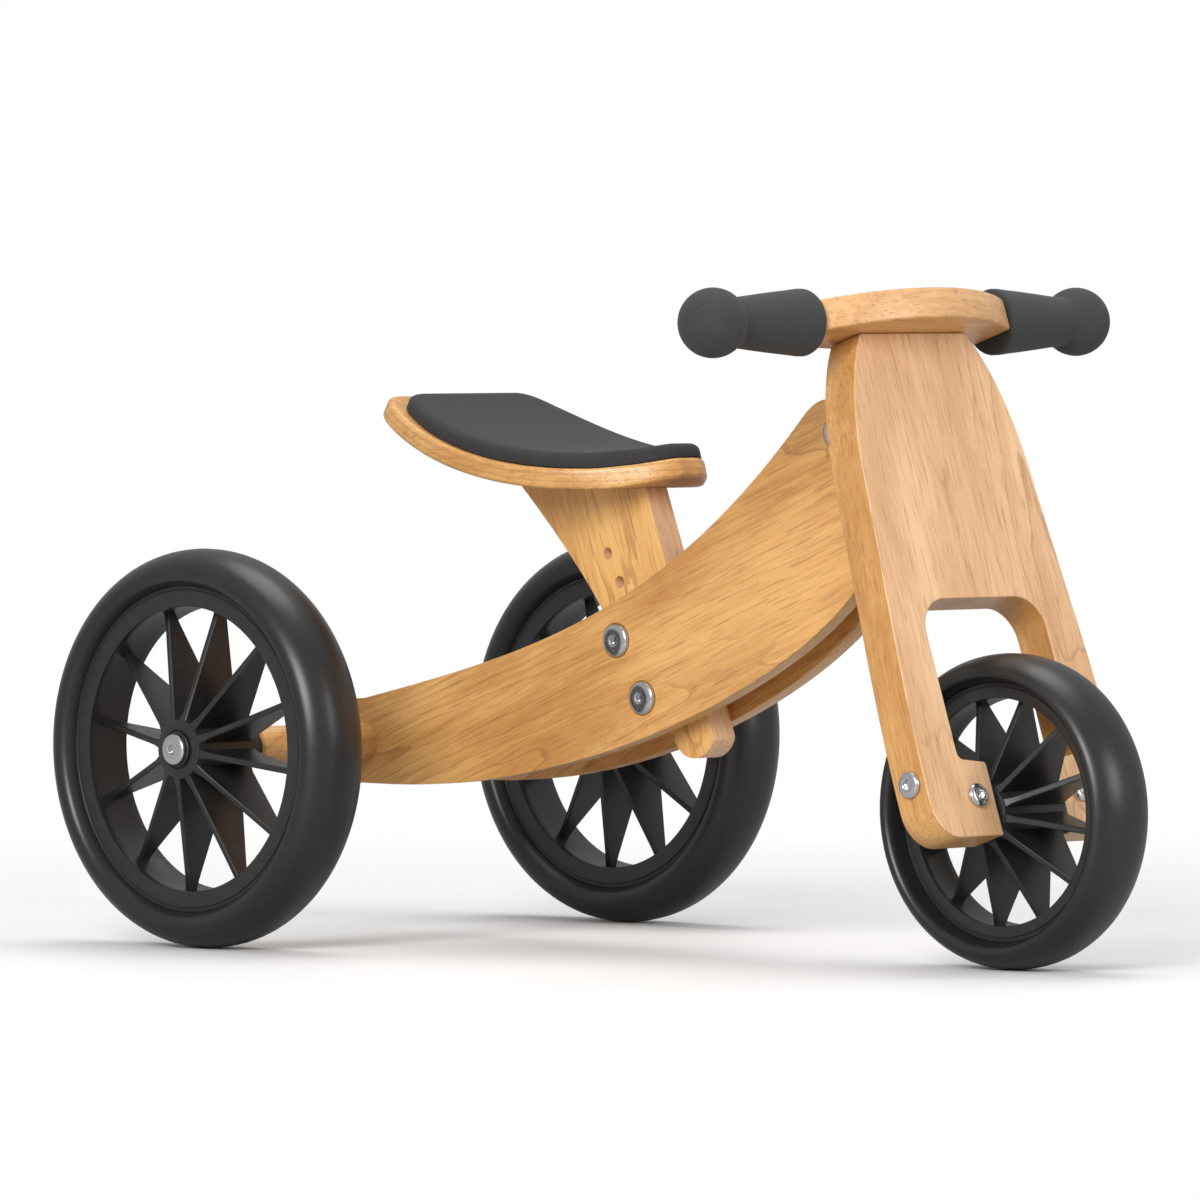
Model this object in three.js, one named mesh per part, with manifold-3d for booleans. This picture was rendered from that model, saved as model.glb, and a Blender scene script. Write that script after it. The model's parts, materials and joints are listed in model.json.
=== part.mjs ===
// A toddler's wooden balance trike: two splayed side beams, a bent seat on an adjustable post,
// a forked steering panel with a bow handlebar, and three spoked wheels with soft tyres.
// Millimetres, +X forward, +Y to the rider's left, +Z up. The origin is on the floor, under the
// middle of the whole trike. Inside this file x is counted from the rear axle line, and the
// group `trike` moves everything back so that the origin ends up in the middle.
import * as THREE from 'three';
import { mergeVertices } from 'three/addons/utils/BufferGeometryUtils.js';
import Module from 'manifold-3d';

const wasm = await Module();
wasm.setup();

// ---------------------------------------------------------------- driving dimensions
const WHEELBASE = 414;            // rear axle to front axle
const HALF_TRACK = 155;           // middle of the trike to the middle of a rear wheel
const FIT = 0.3;                  // gap kept between pieces that touch
const RUN = 0.6;                  // running gap beside a turning piece
const HALF_TURN = Math.PI;
const QUARTER_TURN = Math.PI / 2;

// wheels
const WHEEL_SIDES = 28;           // facets round a wheel
const FLAT_DOWN = Math.PI / WHEEL_SIDES; // turn that rests a wheel on a facet
const ROUND = 14;                 // facets round a turned piece or a large hole
const SMALL = 10;                 // facets round a screw or a small hole
const REAR = {
  tyreR: 102.8, tyreHalf: 20.4, flangeR: 83.5, innerR: 72.7, rimHalf: 13.5,
  hubR: 15.5, hubHalf: 20,
};
const FRONT = {
  tyreR: 78.9, tyreHalf: 20, flangeR: 64.5, innerR: 56.4, rimHalf: 10.2,
  hubR: 15.5, hubHalf: 23.2,
};
const FIN_COUNT = 12;
const FIN_PHASE = 21.4;           // turn of the first fin up from straight ahead, in degrees
const FIN_THICK = 3.2;
const FIN_TIP = 4.5;              // width of a fin where it meets the rim
const RIM_FLANGE = 3.4;           // thickness of a rim flange
const RIM_BED = 5.2;              // how far the tyre's bed lies under the flange edge
const BUSH_R = 6.5;
const BUSH_LENGTH = 12;
const BUSH_FLANGE_R = 9;
const BUSH_FLANGE = 1.2;
const AXLE_R = 4;

// rear axle
const AXLE_BAR_R = 10;            // round wooden bar that carries the steel axle
const AXLE_BAR_HALF = 122;
const SPACER_R = 8;
const CAP_HEAD_R = 8;
const CAP_HEAD_THICK = 2.6;

// side beams
const BEAM_THICK = 10;
const BEAM_REAR_Y = 41.5;         // outer face of a beam at the rear axle
const HEAD_HALF_GAP = 5.55;       // half of the space between the beams at the steering head
const BEAM_REAR_R = 22;

// steering panel, measured from the front axle in its own leaning frame
const RAKE = THREE.MathUtils.degToRad(18.78);
const PANEL_THICK = 21;
const PANEL_FRONT = 12.7;         // front face of the panel ahead of the axle
const PANEL_TOP = 245.5;
const PANEL_TOP_HALF = 38.8;
const PANEL_SHOULDER = { y: 62, z: 170 };
const PANEL_FOOT_HALF = 73;
const PANEL_BOTTOM = -15;
const FOOT_CORNER_R = 18;
const SLOT_HALF = 44.6;
const SLOT_TOP = 107;
const SLOT_CORNER_R = 18;
const LUG_HALF = 25.3;            // inner face of the lug that holds the wheel's axle
const LUG_TOP = 23;
const FRONT_AXLE_HALF = 34;
const LOCK_SCREW = { y: 38.3, z: 5.7, headR: 6, head: 2.8, shankR: 3, length: 15 };
const LEG_BOLT = { x: 3, z: 15.3, headR: 6.6, head: 2.6, shankR: 3, length: 34 };

// handlebar and grips
const BAR_THICK = 16;
const BAR_HALF = 69;              // where the wood ends in the grips
const BAR_FRONT = 24;             // bow of the bar ahead of the panel's front face
const BAR_FRONT_END = 4;
const BAR_REAR = -28.5;
const BAR_REAR_END = -21;
const TENON_R = 7.5;
const GRIP_Y = 134.5;             // centre of the grip's ball
const GRIP_BALL_R = 17.4;
const GRIP_INNER_R = 16.8;
const GRIP_OUTER_R = 13.1;
const GRIP_X = -8.1;              // grip axis behind the panel's front face
const BAR_SCREW_Y = 20;

// steering head
const PIN_R = 4;
const PIN_BACK = 11;              // pin axis behind the panel's rear face
const KNUCKLE_R = 8.4;
const KNUCKLE_LOW = 152;
const KNUCKLE_HIGH = 216;
const HEAD_BUSH_R = 6;
const HEAD_BUSH_LENGTH = 10;
const BRACKET_THICK = 2.5;
const BRACKET_HALF = 11;
const BRACKET_HEIGHT = 26;
const BRACKET_EAR_R = 7;
const BEAM_FRONT_BACK = 7;        // front end of the beams behind the pin axis
const HEAD_BLOCK_LENGTH = 42;
const HEAD_BOLT_BACK = 17.8;      // head bolts behind the pin axis
const HEAD_BOLTS = [164, 209.6];

// connector bolts through beams
const BOLT_HEAD_R = 8.5;
const BOLT_HEAD = 2.8;
const BOLT_R = 3;
const SLEEVE_R = 4;               // sleeve nut that the bolt screws into from the far side
const SLEEVE_LENGTH = 14;
const SPOT_DEPTH = 0.9;           // flat seat cut for a bolt head in the splayed beam

// seat post
const POST_THICK = 16;
const HOLE_PITCH = 16.8;
const HOLE_COUNT = 6;
const HOLE_R = 3.3;
const HOLE_FIRST = { x: 143.4, z: 201.6 };
const HOLE_SLOPE = THREE.MathUtils.degToRad(59.5);
const USED_HOLES = [3, 5];        // the holes that the two bolts pass through
const POST_FOOT_R = 14.5;

// seat
const SEAT_BEND_R = 259;          // radius of the bend in the seat's top face, behind its low
const SEAT_NOSE_R = 120;          // and ahead of it
const SEAT_LOW = { x: 155, z: 245.5 };
const SEAT_THICK = 10.6;
const SEAT_REAR = 22;
const SEAT_NOSE = 193;
const PAD_THICK = 8;
const PAD_INSET = 3.2;
const PAD_REAR_INSET = 9;
const PAD_NOSE_INSET = 0.5;
const SEAT_SCREWS = [104, 142];   // where the seat is screwed down, along x
const SCREW_R = 2;
const SCREW_HEAD_R = 4;

// ---------------------------------------------------------------- finishes
const finish = (colour, roughness, metalness = 0) =>
  new THREE.MeshStandardMaterial({ color: colour, roughness, metalness });
const BEAM_WOOD = 0xd9a25f;
const PANEL_WOOD = 0xdcab78;
const RUBBER = 0x2c2c2e;
const RIM_PLASTIC = 0x3a3a3b;
const GRIP_RUBBER = 0x464646;
const FOAM = 0x565456;
const STEEL = 0xb9bcc0;
const NYLON = 0x222224;

// ---------------------------------------------------------------- solid helpers
// A closed solid from a closed geometry, turned so that its faces point out.
function solid(geometry) {
  const bare = geometry.clone();
  bare.deleteAttribute('normal');
  bare.deleteAttribute('uv');
  const merged = mergeVertices(bare, 1e-4);
  const points = merged.attributes.position.array;
  const index = merged.index.array;
  let volume = 0;
  const [a, b, c] = [new THREE.Vector3(), new THREE.Vector3(), new THREE.Vector3()];
  const triangles = [];
  for (let i = 0; i < index.length; i += 3) {
    const [p, q, r] = [index[i], index[i + 1], index[i + 2]];
    if (p === q || q === r || r === p) continue;
    a.fromArray(points, p * 3);
    b.fromArray(points, q * 3);
    c.fromArray(points, r * 3);
    volume += a.dot(b.cross(c));
    triangles.push([p, q, r]);
  }
  const order = volume > 0 ? triangles : triangles.map(([p, q, r]) => [p, r, q]);
  return new wasm.Manifold(new wasm.Mesh({
    numProp: 3,
    vertProperties: Float32Array.from(points),
    triVerts: Uint32Array.from(order.flat()),
  }));
}

// The geometry of a finished solid.
function geometryOf(body) {
  const mesh = body.getMesh();
  const geometry = new THREE.BufferGeometry();
  geometry.setAttribute('position', new THREE.BufferAttribute(mesh.vertProperties, 3));
  geometry.setIndex(new THREE.BufferAttribute(mesh.triVerts, 1));
  geometry.computeVertexNormals();
  return geometry;
}

// A named piece of the trike, added to the group it moves with.
function piece(group, name, body, material) {
  const mesh = new THREE.Mesh(geometryOf(body), material);
  mesh.name = name;
  group.add(mesh);
  return mesh;
}

const extrude = (shape, depth, curveSegments = 16) =>
  new THREE.ExtrudeGeometry(shape, { depth, bevelEnabled: false, curveSegments });

// A board whose outline is drawn in x and z, between two values of y.
function boardXZ(shape, yFrom, yTo, curveSegments = 16) {
  const geometry = extrude(shape, yTo - yFrom, curveSegments);
  geometry.rotateX(QUARTER_TURN);
  geometry.translate(0, yTo, 0);
  return solid(geometry);
}

// A board whose outline is drawn in y and z, between two values of x.
function boardYZ(shape, xFrom, xTo, curveSegments = 16) {
  const geometry = extrude(shape, xTo - xFrom, curveSegments);
  const turn = new THREE.Matrix4().makeBasis(
    new THREE.Vector3(0, 1, 0), new THREE.Vector3(0, 0, 1), new THREE.Vector3(1, 0, 0));
  geometry.applyMatrix4(turn);
  geometry.translate(xFrom, 0, 0);
  return solid(geometry);
}

// A board whose outline is drawn in x and y, between two heights.
function boardXY(shape, zFrom, zTo, curveSegments = 16) {
  const geometry = extrude(shape, zTo - zFrom, curveSegments);
  geometry.translate(0, 0, zFrom);
  return solid(geometry);
}

// A turned piece: profile points are [radius, distance along the axis].
function turned(profile, sides) {
  const points = profile.map(([r, h]) => new THREE.Vector2(r, h));
  return new THREE.LatheGeometry(points, sides);
}

// The same piece with its axis along Y, X or Z, moved to a place.
const alongY = (profile, sides, x = 0, y = 0, z = 0) =>
  solid(turned(profile, sides).translate(x, y, z));
const alongX = (profile, sides, x = 0, y = 0, z = 0) =>
  solid(turned(profile, sides).rotateZ(-QUARTER_TURN).translate(x, y, z));
const alongZ = (profile, sides, x = 0, y = 0, z = 0) =>
  solid(turned(profile, sides).rotateX(QUARTER_TURN).translate(x, y, z));

const rod = (radius, from, to) => [[0, from], [radius, from], [radius, to], [0, to]];
const tube = (inner, outer, from, to) =>
  [[inner, from], [outer, from], [outer, to], [inner, to], [inner, from]];

// A bolt head with a flat top and a domed edge, then its shank: the head starts at 0.
function boltProfile(headR, head, shankR, length) {
  return [
    [0, -length], [shankR, -length], [shankR, 0], [headR, 0], [headR, head * 0.45],
    [headR * 0.72, head], [0, head],
  ];
}

const mirrorProfile = (profile) => profile.map(([r, h]) => [r, -h]);

// ---------------------------------------------------------------- groups
const trike = new THREE.Group();
const centreX = (WHEELBASE + FRONT.tyreR - REAR.tyreR) / 2;
trike.position.x = -centreX;

// The wheels stand on a flat of their facets, so an axle is this high.
const axleHeight = (wheel) => wheel.tyreR * Math.cos(FLAT_DOWN);
const REAR_Z = axleHeight(REAR);
const FRONT_Z = axleHeight(FRONT);

const fork = new THREE.Group();
fork.position.set(WHEELBASE, 0, FRONT_Z);
fork.rotation.y = -RAKE;
fork.updateMatrix();
const forkMatrix = fork.matrix.clone();
trike.add(fork);

// A solid drawn in the fork's leaning frame, moved into the trike's frame.
function fromForkFrame(body) {
  const geometry = geometryOf(body);
  geometry.applyMatrix4(forkMatrix);
  return solid(geometry);
}
const forkPoint = (x, z) => new THREE.Vector3(x, 0, z).applyMatrix4(forkMatrix);

// ---------------------------------------------------------------- wheels
function tyre(wheel) {
  const bed = wheel.flangeR - RIM_BED + FIT;
  const bedHalf = wheel.rimHalf - RIM_FLANGE - FIT;
  const lip = wheel.flangeR + FIT;
  const wall = wheel.tyreR - wheel.flangeR;
  const crown = [
    [lip + wall * 0.2, wheel.tyreHalf * 0.97],
    [lip + wall * 0.52, wheel.tyreHalf * 0.97],
    [lip + wall * 0.83, wheel.tyreHalf * 0.65],
    [wheel.tyreR, wheel.tyreHalf * 0.24],
  ];
  const side = [[bed, bedHalf], [lip, bedHalf], ...crown];
  const profile = [...mirrorProfile(side), ...side.slice().reverse()];
  profile.push(profile[0]);
  return turned(profile, WHEEL_SIDES).rotateY(FLAT_DOWN);
}

function finOutline(wheel) {
  const shape = new THREE.Shape();
  const root = wheel.hubR - 2;
  const tip = wheel.innerR + 1.2;
  shape.moveTo(root, -wheel.hubHalf + 1);
  shape.lineTo(tip, -FIN_TIP / 2);
  shape.lineTo(tip, FIN_TIP / 2);
  shape.lineTo(root, wheel.hubHalf - 1);
  shape.closePath();
  return shape;
}

// Rim, twelve triangular fins and hub, moulded as one piece.
function wheelCore(wheel) {
  const bedHalf = wheel.rimHalf - RIM_FLANGE;
  const bed = wheel.flangeR - RIM_BED;
  const rim = solid(turned([
    [wheel.innerR, -wheel.rimHalf], [wheel.flangeR, -wheel.rimHalf], [wheel.flangeR, -bedHalf],
    [bed, -bedHalf], [bed, bedHalf], [wheel.flangeR, bedHalf], [wheel.flangeR, wheel.rimHalf],
    [wheel.innerR, wheel.rimHalf], [wheel.innerR, -wheel.rimHalf],
  ], WHEEL_SIDES).rotateY(FLAT_DOWN));
  const hub = alongY([
    [0, -wheel.hubHalf], [wheel.hubR, -wheel.hubHalf], [wheel.hubR, wheel.hubHalf],
    [0, wheel.hubHalf],
  ], ROUND);
  let core = rim.add(hub);
  for (let i = 0; i < FIN_COUNT; i += 1) {
    const blade = extrude(finOutline(wheel), FIN_THICK);
    blade.translate(0, 0, -FIN_THICK / 2);
    blade.rotateY(-THREE.MathUtils.degToRad(FIN_PHASE + (i * 360) / FIN_COUNT));
    core = core.add(solid(blade));
  }
  const seat = wheel.hubHalf - BUSH_LENGTH - FIT;
  const bore = alongY([
    [0, -wheel.hubHalf - 1], [BUSH_R + FIT, -wheel.hubHalf - 1], [BUSH_R + FIT, -seat],
    [AXLE_R + 1, -seat], [AXLE_R + 1, seat], [BUSH_R + FIT, seat],
    [BUSH_R + FIT, wheel.hubHalf + 1], [0, wheel.hubHalf + 1],
  ], ROUND);
  return core.subtract(bore);
}

// A flanged bush pressed into one end of a hub: side is +1 or -1 along Y.
function hubBush(wheel, side) {
  const mouth = wheel.hubHalf + FIT;
  const profile = [
    [AXLE_R + RUN, mouth - BUSH_LENGTH], [BUSH_R, mouth - BUSH_LENGTH], [BUSH_R, mouth],
    [BUSH_FLANGE_R, mouth], [BUSH_FLANGE_R, mouth + BUSH_FLANGE],
    [AXLE_R + RUN, mouth + BUSH_FLANGE], [AXLE_R + RUN, mouth - BUSH_LENGTH],
  ];
  return alongY(side > 0 ? profile : mirrorProfile(profile), ROUND);
}

// `lean` turns the wheel's own frame upright again inside a leaning parent.
function addWheel(parent, name, wheel, place, lean = 0) {
  const group = new THREE.Group();
  group.position.copy(place);
  group.rotation.y = lean;
  parent.add(group);
  piece(group, `${name}_tyre`, solid(tyre(wheel)), finish(RUBBER, 0.62));
  piece(group, `${name}_wheel_core`, wheelCore(wheel), finish(RIM_PLASTIC, 0.55));
  piece(group, `${name}_bush_left`, hubBush(wheel, 1), finish(NYLON, 0.5));
  piece(group, `${name}_bush_right`, hubBush(wheel, -1), finish(NYLON, 0.5));
}

addWheel(trike, 'rear_left', REAR, new THREE.Vector3(0, HALF_TRACK, REAR_Z));
addWheel(trike, 'rear_right', REAR, new THREE.Vector3(0, -HALF_TRACK, REAR_Z));

// ---------------------------------------------------------------- side beams
const pinX = PANEL_FRONT - PANEL_THICK - PIN_BACK;
const beamFrontX = pinX - BEAM_FRONT_BACK;
const headX = forkPoint(beamFrontX, (KNUCKLE_LOW + KNUCKLE_HIGH) / 2 - 10).x;
const BEAM_SPLAY = (BEAM_REAR_Y - BEAM_THICK - HEAD_HALF_GAP) / headX;
const beamOuter = (x) => BEAM_REAR_Y - BEAM_SPLAY * x;
const beamRun = Math.hypot(1, BEAM_SPLAY);
const beamInner = (x) => beamOuter(x) - BEAM_THICK * beamRun;

// A band between two splayed faces: the plan of one beam, or of the space between both.
function planBand(nearFace, farFace, heights) {
  const shape = new THREE.Shape();
  const [xFrom, xTo] = [-60, headX + 30];
  shape.moveTo(xFrom, nearFace(xFrom));
  shape.lineTo(xTo, nearFace(xTo));
  shape.lineTo(xTo, farFace(xTo));
  shape.lineTo(xFrom, farFace(xFrom));
  shape.closePath();
  return boardXY(shape, heights[0], heights[1]);
}

function beamOutline() {
  const top = forkPoint(beamFrontX, 224);
  const bottom = forkPoint(beamFrontX, 152);
  const shape = new THREE.Shape();
  const along = (part) => part * headX;
  shape.moveTo(0, REAR_Z + BEAM_REAR_R + 0.5);
  shape.bezierCurveTo(along(0.33), 150, along(0.60), 172, along(0.87), 273);
  shape.quadraticCurveTo(along(0.912), 288.5, top.x + 2, top.z - 5);
  shape.lineTo(bottom.x, bottom.z);
  shape.quadraticCurveTo(bottom.x + 2, bottom.z - 3, along(1), 199);
  shape.bezierCurveTo(along(0.885), 140, along(0.45), 80.5, along(0.06), 80.5);
  shape.lineTo(0, REAR_Z - BEAM_REAR_R + 0.5);
  shape.absarc(-2, REAR_Z + 0.5, BEAM_REAR_R, -QUARTER_TURN, QUARTER_TURN, true);
  shape.closePath();
  return shape;
}

const usedHoles = USED_HOLES.map((n) => ({
  x: HOLE_FIRST.x + n * HOLE_PITCH * Math.cos(HOLE_SLOPE),
  z: HOLE_FIRST.z - n * HOLE_PITCH * Math.sin(HOLE_SLOPE),
}));
const headBolts = HEAD_BOLTS.map((s) => {
  const point = forkPoint(pinX - HEAD_BOLT_BACK, s);
  return { x: point.x, z: point.z };
});
const throughBolts = [...usedHoles, ...headBolts];

// The flat seat that a bolt head or a sleeve nut bears on, measured from the middle plane.
const seatY = ({ x }) => beamOuter(x) - SPOT_DEPTH;

function beam(side) {
  const outline = boardXZ(beamOutline(), -90, 90, 9);
  const band = side > 0
    ? planBand(beamInner, beamOuter, [-10, 400])
    : planBand((x) => -beamOuter(x), (x) => -beamInner(x), [-10, 400]);
  let body = outline.intersect(band);
  body = body.subtract(alongY(rod(AXLE_BAR_R + FIT, -90, 90), ROUND, 0, 0, REAR_Z));
  for (const bolt of throughBolts) {
    body = body.subtract(alongY(rod(SLEEVE_R + FIT, -60, 60), SMALL, bolt.x, 0, bolt.z));
    const from = seatY(bolt);
    const spot = rod(BOLT_HEAD_R + FIT, from, from + 20);
    body = body.subtract(
      alongY(side > 0 ? spot : mirrorProfile(spot), ROUND, bolt.x, 0, bolt.z));
  }
  return body;
}
piece(trike, 'beam_right', beam(-1), finish(BEAM_WOOD, 0.4));
piece(trike, 'beam_left', beam(1), finish(BEAM_WOOD, 0.4));

// ---------------------------------------------------------------- rear axle
const hubFace = HALF_TRACK + REAR.hubHalf + FIT + BUSH_FLANGE;
const hubBack = HALF_TRACK - REAR.hubHalf - FIT - BUSH_FLANGE;
piece(trike, 'rear_axle_bar', alongY([
  [AXLE_R + FIT, -AXLE_BAR_HALF], [AXLE_BAR_R - 2, -AXLE_BAR_HALF],
  [AXLE_BAR_R, 2 - AXLE_BAR_HALF], [AXLE_BAR_R, AXLE_BAR_HALF - 2],
  [AXLE_BAR_R - 2, AXLE_BAR_HALF], [AXLE_R + FIT, AXLE_BAR_HALF],
  [AXLE_R + FIT, -AXLE_BAR_HALF],
], ROUND, 0, 0, REAR_Z), finish(BEAM_WOOD, 0.45));
piece(trike, 'rear_axle_rod',
  alongY(rod(AXLE_R, -hubFace - FIT, hubFace + FIT), ROUND, 0, 0, REAR_Z), finish(STEEL, 0.3, 1));
for (const [name, side] of [['left', 1], ['right', -1]]) {
  const spacer = tube(AXLE_R + FIT, SPACER_R, AXLE_BAR_HALF + FIT, hubBack - RUN);
  piece(trike, `rear_axle_spacer_${name}`,
    alongY(side > 0 ? spacer : mirrorProfile(spacer), ROUND, 0, 0, REAR_Z), finish(NYLON, 0.5));
  const from = hubFace + RUN;
  const cap = [
    [0, from], [CAP_HEAD_R, from], [CAP_HEAD_R, from + CAP_HEAD_THICK * 0.45],
    [CAP_HEAD_R * 0.72, from + CAP_HEAD_THICK], [0, from + CAP_HEAD_THICK],
  ];
  piece(trike, `rear_axle_cap_${name}`,
    alongY(side > 0 ? cap : mirrorProfile(cap), ROUND, 0, 0, REAR_Z), finish(STEEL, 0.25, 1));
}

// ---------------------------------------------------------------- steering head block
function headBlock() {
  const shape = new THREE.Shape();
  const rear = beamFrontX - HEAD_BLOCK_LENGTH;
  shape.moveTo(pinX, KNUCKLE_LOW);
  shape.lineTo(rear + 10, KNUCKLE_LOW);
  shape.lineTo(rear, KNUCKLE_LOW + 10);
  shape.lineTo(rear, KNUCKLE_HIGH);
  shape.lineTo(pinX, KNUCKLE_HIGH);
  shape.closePath();
  const gap = (x) => beamInner(x) - FIT;
  const space = planBand((x) => -gap(x), gap, [-10, 400]);
  const block = fromForkFrame(boardXZ(shape, -30, 30)).intersect(space);
  const knuckle = alongZ(rod(KNUCKLE_R, KNUCKLE_LOW, KNUCKLE_HIGH), ROUND, pinX);
  const seat = HEAD_BUSH_LENGTH + FIT;
  const bore = alongZ([
    [0, KNUCKLE_LOW - 1], [HEAD_BUSH_R + FIT, KNUCKLE_LOW - 1],
    [HEAD_BUSH_R + FIT, KNUCKLE_LOW + seat], [PIN_R + 1, KNUCKLE_LOW + seat],
    [PIN_R + 1, KNUCKLE_HIGH - seat], [HEAD_BUSH_R + FIT, KNUCKLE_HIGH - seat],
    [HEAD_BUSH_R + FIT, KNUCKLE_HIGH + 1], [0, KNUCKLE_HIGH + 1],
  ], ROUND, pinX);
  let body = block.add(fromForkFrame(knuckle)).subtract(fromForkFrame(bore));
  for (const bolt of headBolts) {
    body = body.subtract(alongY(rod(SLEEVE_R + FIT, -60, 60), SMALL, bolt.x, 0, bolt.z));
  }
  return body;
}
piece(trike, 'head_block', headBlock(), finish(BEAM_WOOD, 0.45));

function headBush(from, to) {
  return fromForkFrame(alongZ(tube(PIN_R + RUN, HEAD_BUSH_R, from, to), ROUND, pinX));
}
piece(trike, 'head_bush_lower',
  headBush(KNUCKLE_LOW, KNUCKLE_LOW + HEAD_BUSH_LENGTH), finish(NYLON, 0.5));
piece(trike, 'head_bush_upper',
  headBush(KNUCKLE_HIGH - HEAD_BUSH_LENGTH, KNUCKLE_HIGH), finish(NYLON, 0.5));

// ---------------------------------------------------------------- connector bolts
// Each bolt comes in from the right and screws into a sleeve nut from the left.
function connector(name, place) {
  const seat = seatY(place) + FIT;
  const bolt = boltProfile(BOLT_HEAD_R, BOLT_HEAD, BOLT_R, 2 * seat - 6);
  const boltBody = alongY(mirrorProfile(bolt), ROUND, place.x, -seat, place.z);
  piece(trike, `${name}_bolt`, boltBody, finish(STEEL, 0.25, 1));
  const mouth = seat - SLEEVE_LENGTH;
  const sleeve = [
    [BOLT_R + FIT, mouth], [SLEEVE_R, mouth], [SLEEVE_R, seat], [BOLT_HEAD_R, seat],
    [BOLT_HEAD_R, seat + BOLT_HEAD * 0.45], [BOLT_HEAD_R * 0.72, seat + BOLT_HEAD],
    [0, seat + BOLT_HEAD],
    [0, seat - 2], [BOLT_R + FIT, seat - 2], [BOLT_R + FIT, mouth],
  ];
  piece(trike, `${name}_nut`, alongY(sleeve, ROUND, place.x, 0, place.z), finish(STEEL, 0.3, 1));
}
connector('post_upper', usedHoles[0]);
connector('post_lower', usedHoles[1]);
connector('head_lower', headBolts[0]);
connector('head_upper', headBolts[1]);

// ---------------------------------------------------------------- seat post
// Height of the seat's bend at x, for a face that lies `below` the top face.
function seatHeight(x, below) {
  const bend = x < SEAT_LOW.x ? SEAT_BEND_R : SEAT_NOSE_R;
  return SEAT_LOW.z + bend - Math.sqrt((bend + below) ** 2 - (x - SEAT_LOW.x) ** 2);
}
const seatTop = (x) => seatHeight(x, 0);
const underSeat = (x, gap) => seatHeight(x, SEAT_THICK + gap);

function postOutline() {
  const rearTop = 66;
  const frontTop = 170;
  const shape = new THREE.Shape();
  shape.moveTo(rearTop, underSeat(rearTop, FIT));
  shape.quadraticCurveTo(118, 203, 141, 171);
  shape.lineTo(190.5, 109.5);
  shape.absarc(204, 113, POST_FOOT_R, 1.15 * HALF_TURN, 1.92 * HALF_TURN, false);
  shape.lineTo(frontTop + 0.2, 235);
  const steps = 9;
  for (let i = 0; i <= steps; i += 1) {
    const x = frontTop + ((rearTop - frontTop) * i) / steps;
    shape.lineTo(x, underSeat(x, FIT));
  }
  return shape;
}

function seatPost() {
  let body = boardXZ(postOutline(), -POST_THICK / 2, POST_THICK / 2, 5);
  for (let n = 0; n < HOLE_COUNT; n += 1) {
    const x = HOLE_FIRST.x + n * HOLE_PITCH * Math.cos(HOLE_SLOPE);
    const z = HOLE_FIRST.z - n * HOLE_PITCH * Math.sin(HOLE_SLOPE);
    const radius = USED_HOLES.includes(n) ? SLEEVE_R + FIT : HOLE_R;
    body = body.subtract(alongY(rod(radius, -20, 20), SMALL, x, 0, z));
  }
  for (const x of SEAT_SCREWS) {
    body = body.subtract(alongZ(rod(SCREW_R + FIT, 0, 60), SMALL, x, 0, underSeat(x, 0) - 22));
  }
  return body;
}
piece(trike, 'seat_post', seatPost(), finish(BEAM_WOOD, 0.42));

// Tapered packing plates that fill the space between the post and the splayed beams.
function packingPlate(side) {
  const [upper, lower] = usedHoles;
  const reach = 13;
  const along = Math.atan2(lower.z - upper.z, lower.x - upper.x);
  const shape = new THREE.Shape();
  shape.absarc(upper.x, upper.z, reach, along + QUARTER_TURN, along + 1.5 * HALF_TURN, false);
  shape.absarc(lower.x, lower.z, reach, along - QUARTER_TURN, along + QUARTER_TURN, false);
  shape.closePath();
  const from = POST_THICK / 2 + FIT;
  const body = side > 0 ? boardXZ(shape, from, 60, 8) : boardXZ(shape, -60, -from, 8);
  const gap = (x) => beamInner(x) - FIT;
  let plate = body.intersect(planBand((x) => -gap(x), gap, [-10, 400]));
  for (const bolt of usedHoles) {
    plate = plate.subtract(alongY(rod(SLEEVE_R + FIT, -60, 60), SMALL, bolt.x, 0, bolt.z));
  }
  return plate;
}
piece(trike, 'packing_plate_right', packingPlate(-1), finish(BEAM_WOOD, 0.5));
piece(trike, 'packing_plate_left', packingPlate(1), finish(BEAM_WOOD, 0.5));

// ---------------------------------------------------------------- seat
// The seat's plan, wide at the back and narrow at the round nose, drawn a little smaller by
// `inset` for the pad.
function seatPlan(inset, rear, nose) {
  const w = (half) => half - inset;
  const n = (half) => half - inset * 0.4;
  const corner = rear + 14;
  const shape = new THREE.Shape();
  shape.moveTo(rear, -w(38));
  shape.quadraticCurveTo(rear, -w(50), corner, -w(54));
  shape.bezierCurveTo(70, -w(64.5), 116, -w(61), 140, -w(51));
  shape.bezierCurveTo(156, -w(44), 164, -n(37.5), 173, -n(31));
  shape.bezierCurveTo(nose - 12, -n(23.5), nose, -n(14.5), nose, -5);
  shape.lineTo(nose, 5);
  shape.bezierCurveTo(nose, n(14.5), nose - 12, n(23.5), 173, n(31));
  shape.bezierCurveTo(164, n(37.5), 156, w(44), 140, w(51));
  shape.bezierCurveTo(116, w(61), 70, w(64.5), corner, w(54));
  shape.quadraticCurveTo(rear, w(50), rear, w(38));
  shape.closePath();
  return shape;
}

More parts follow.
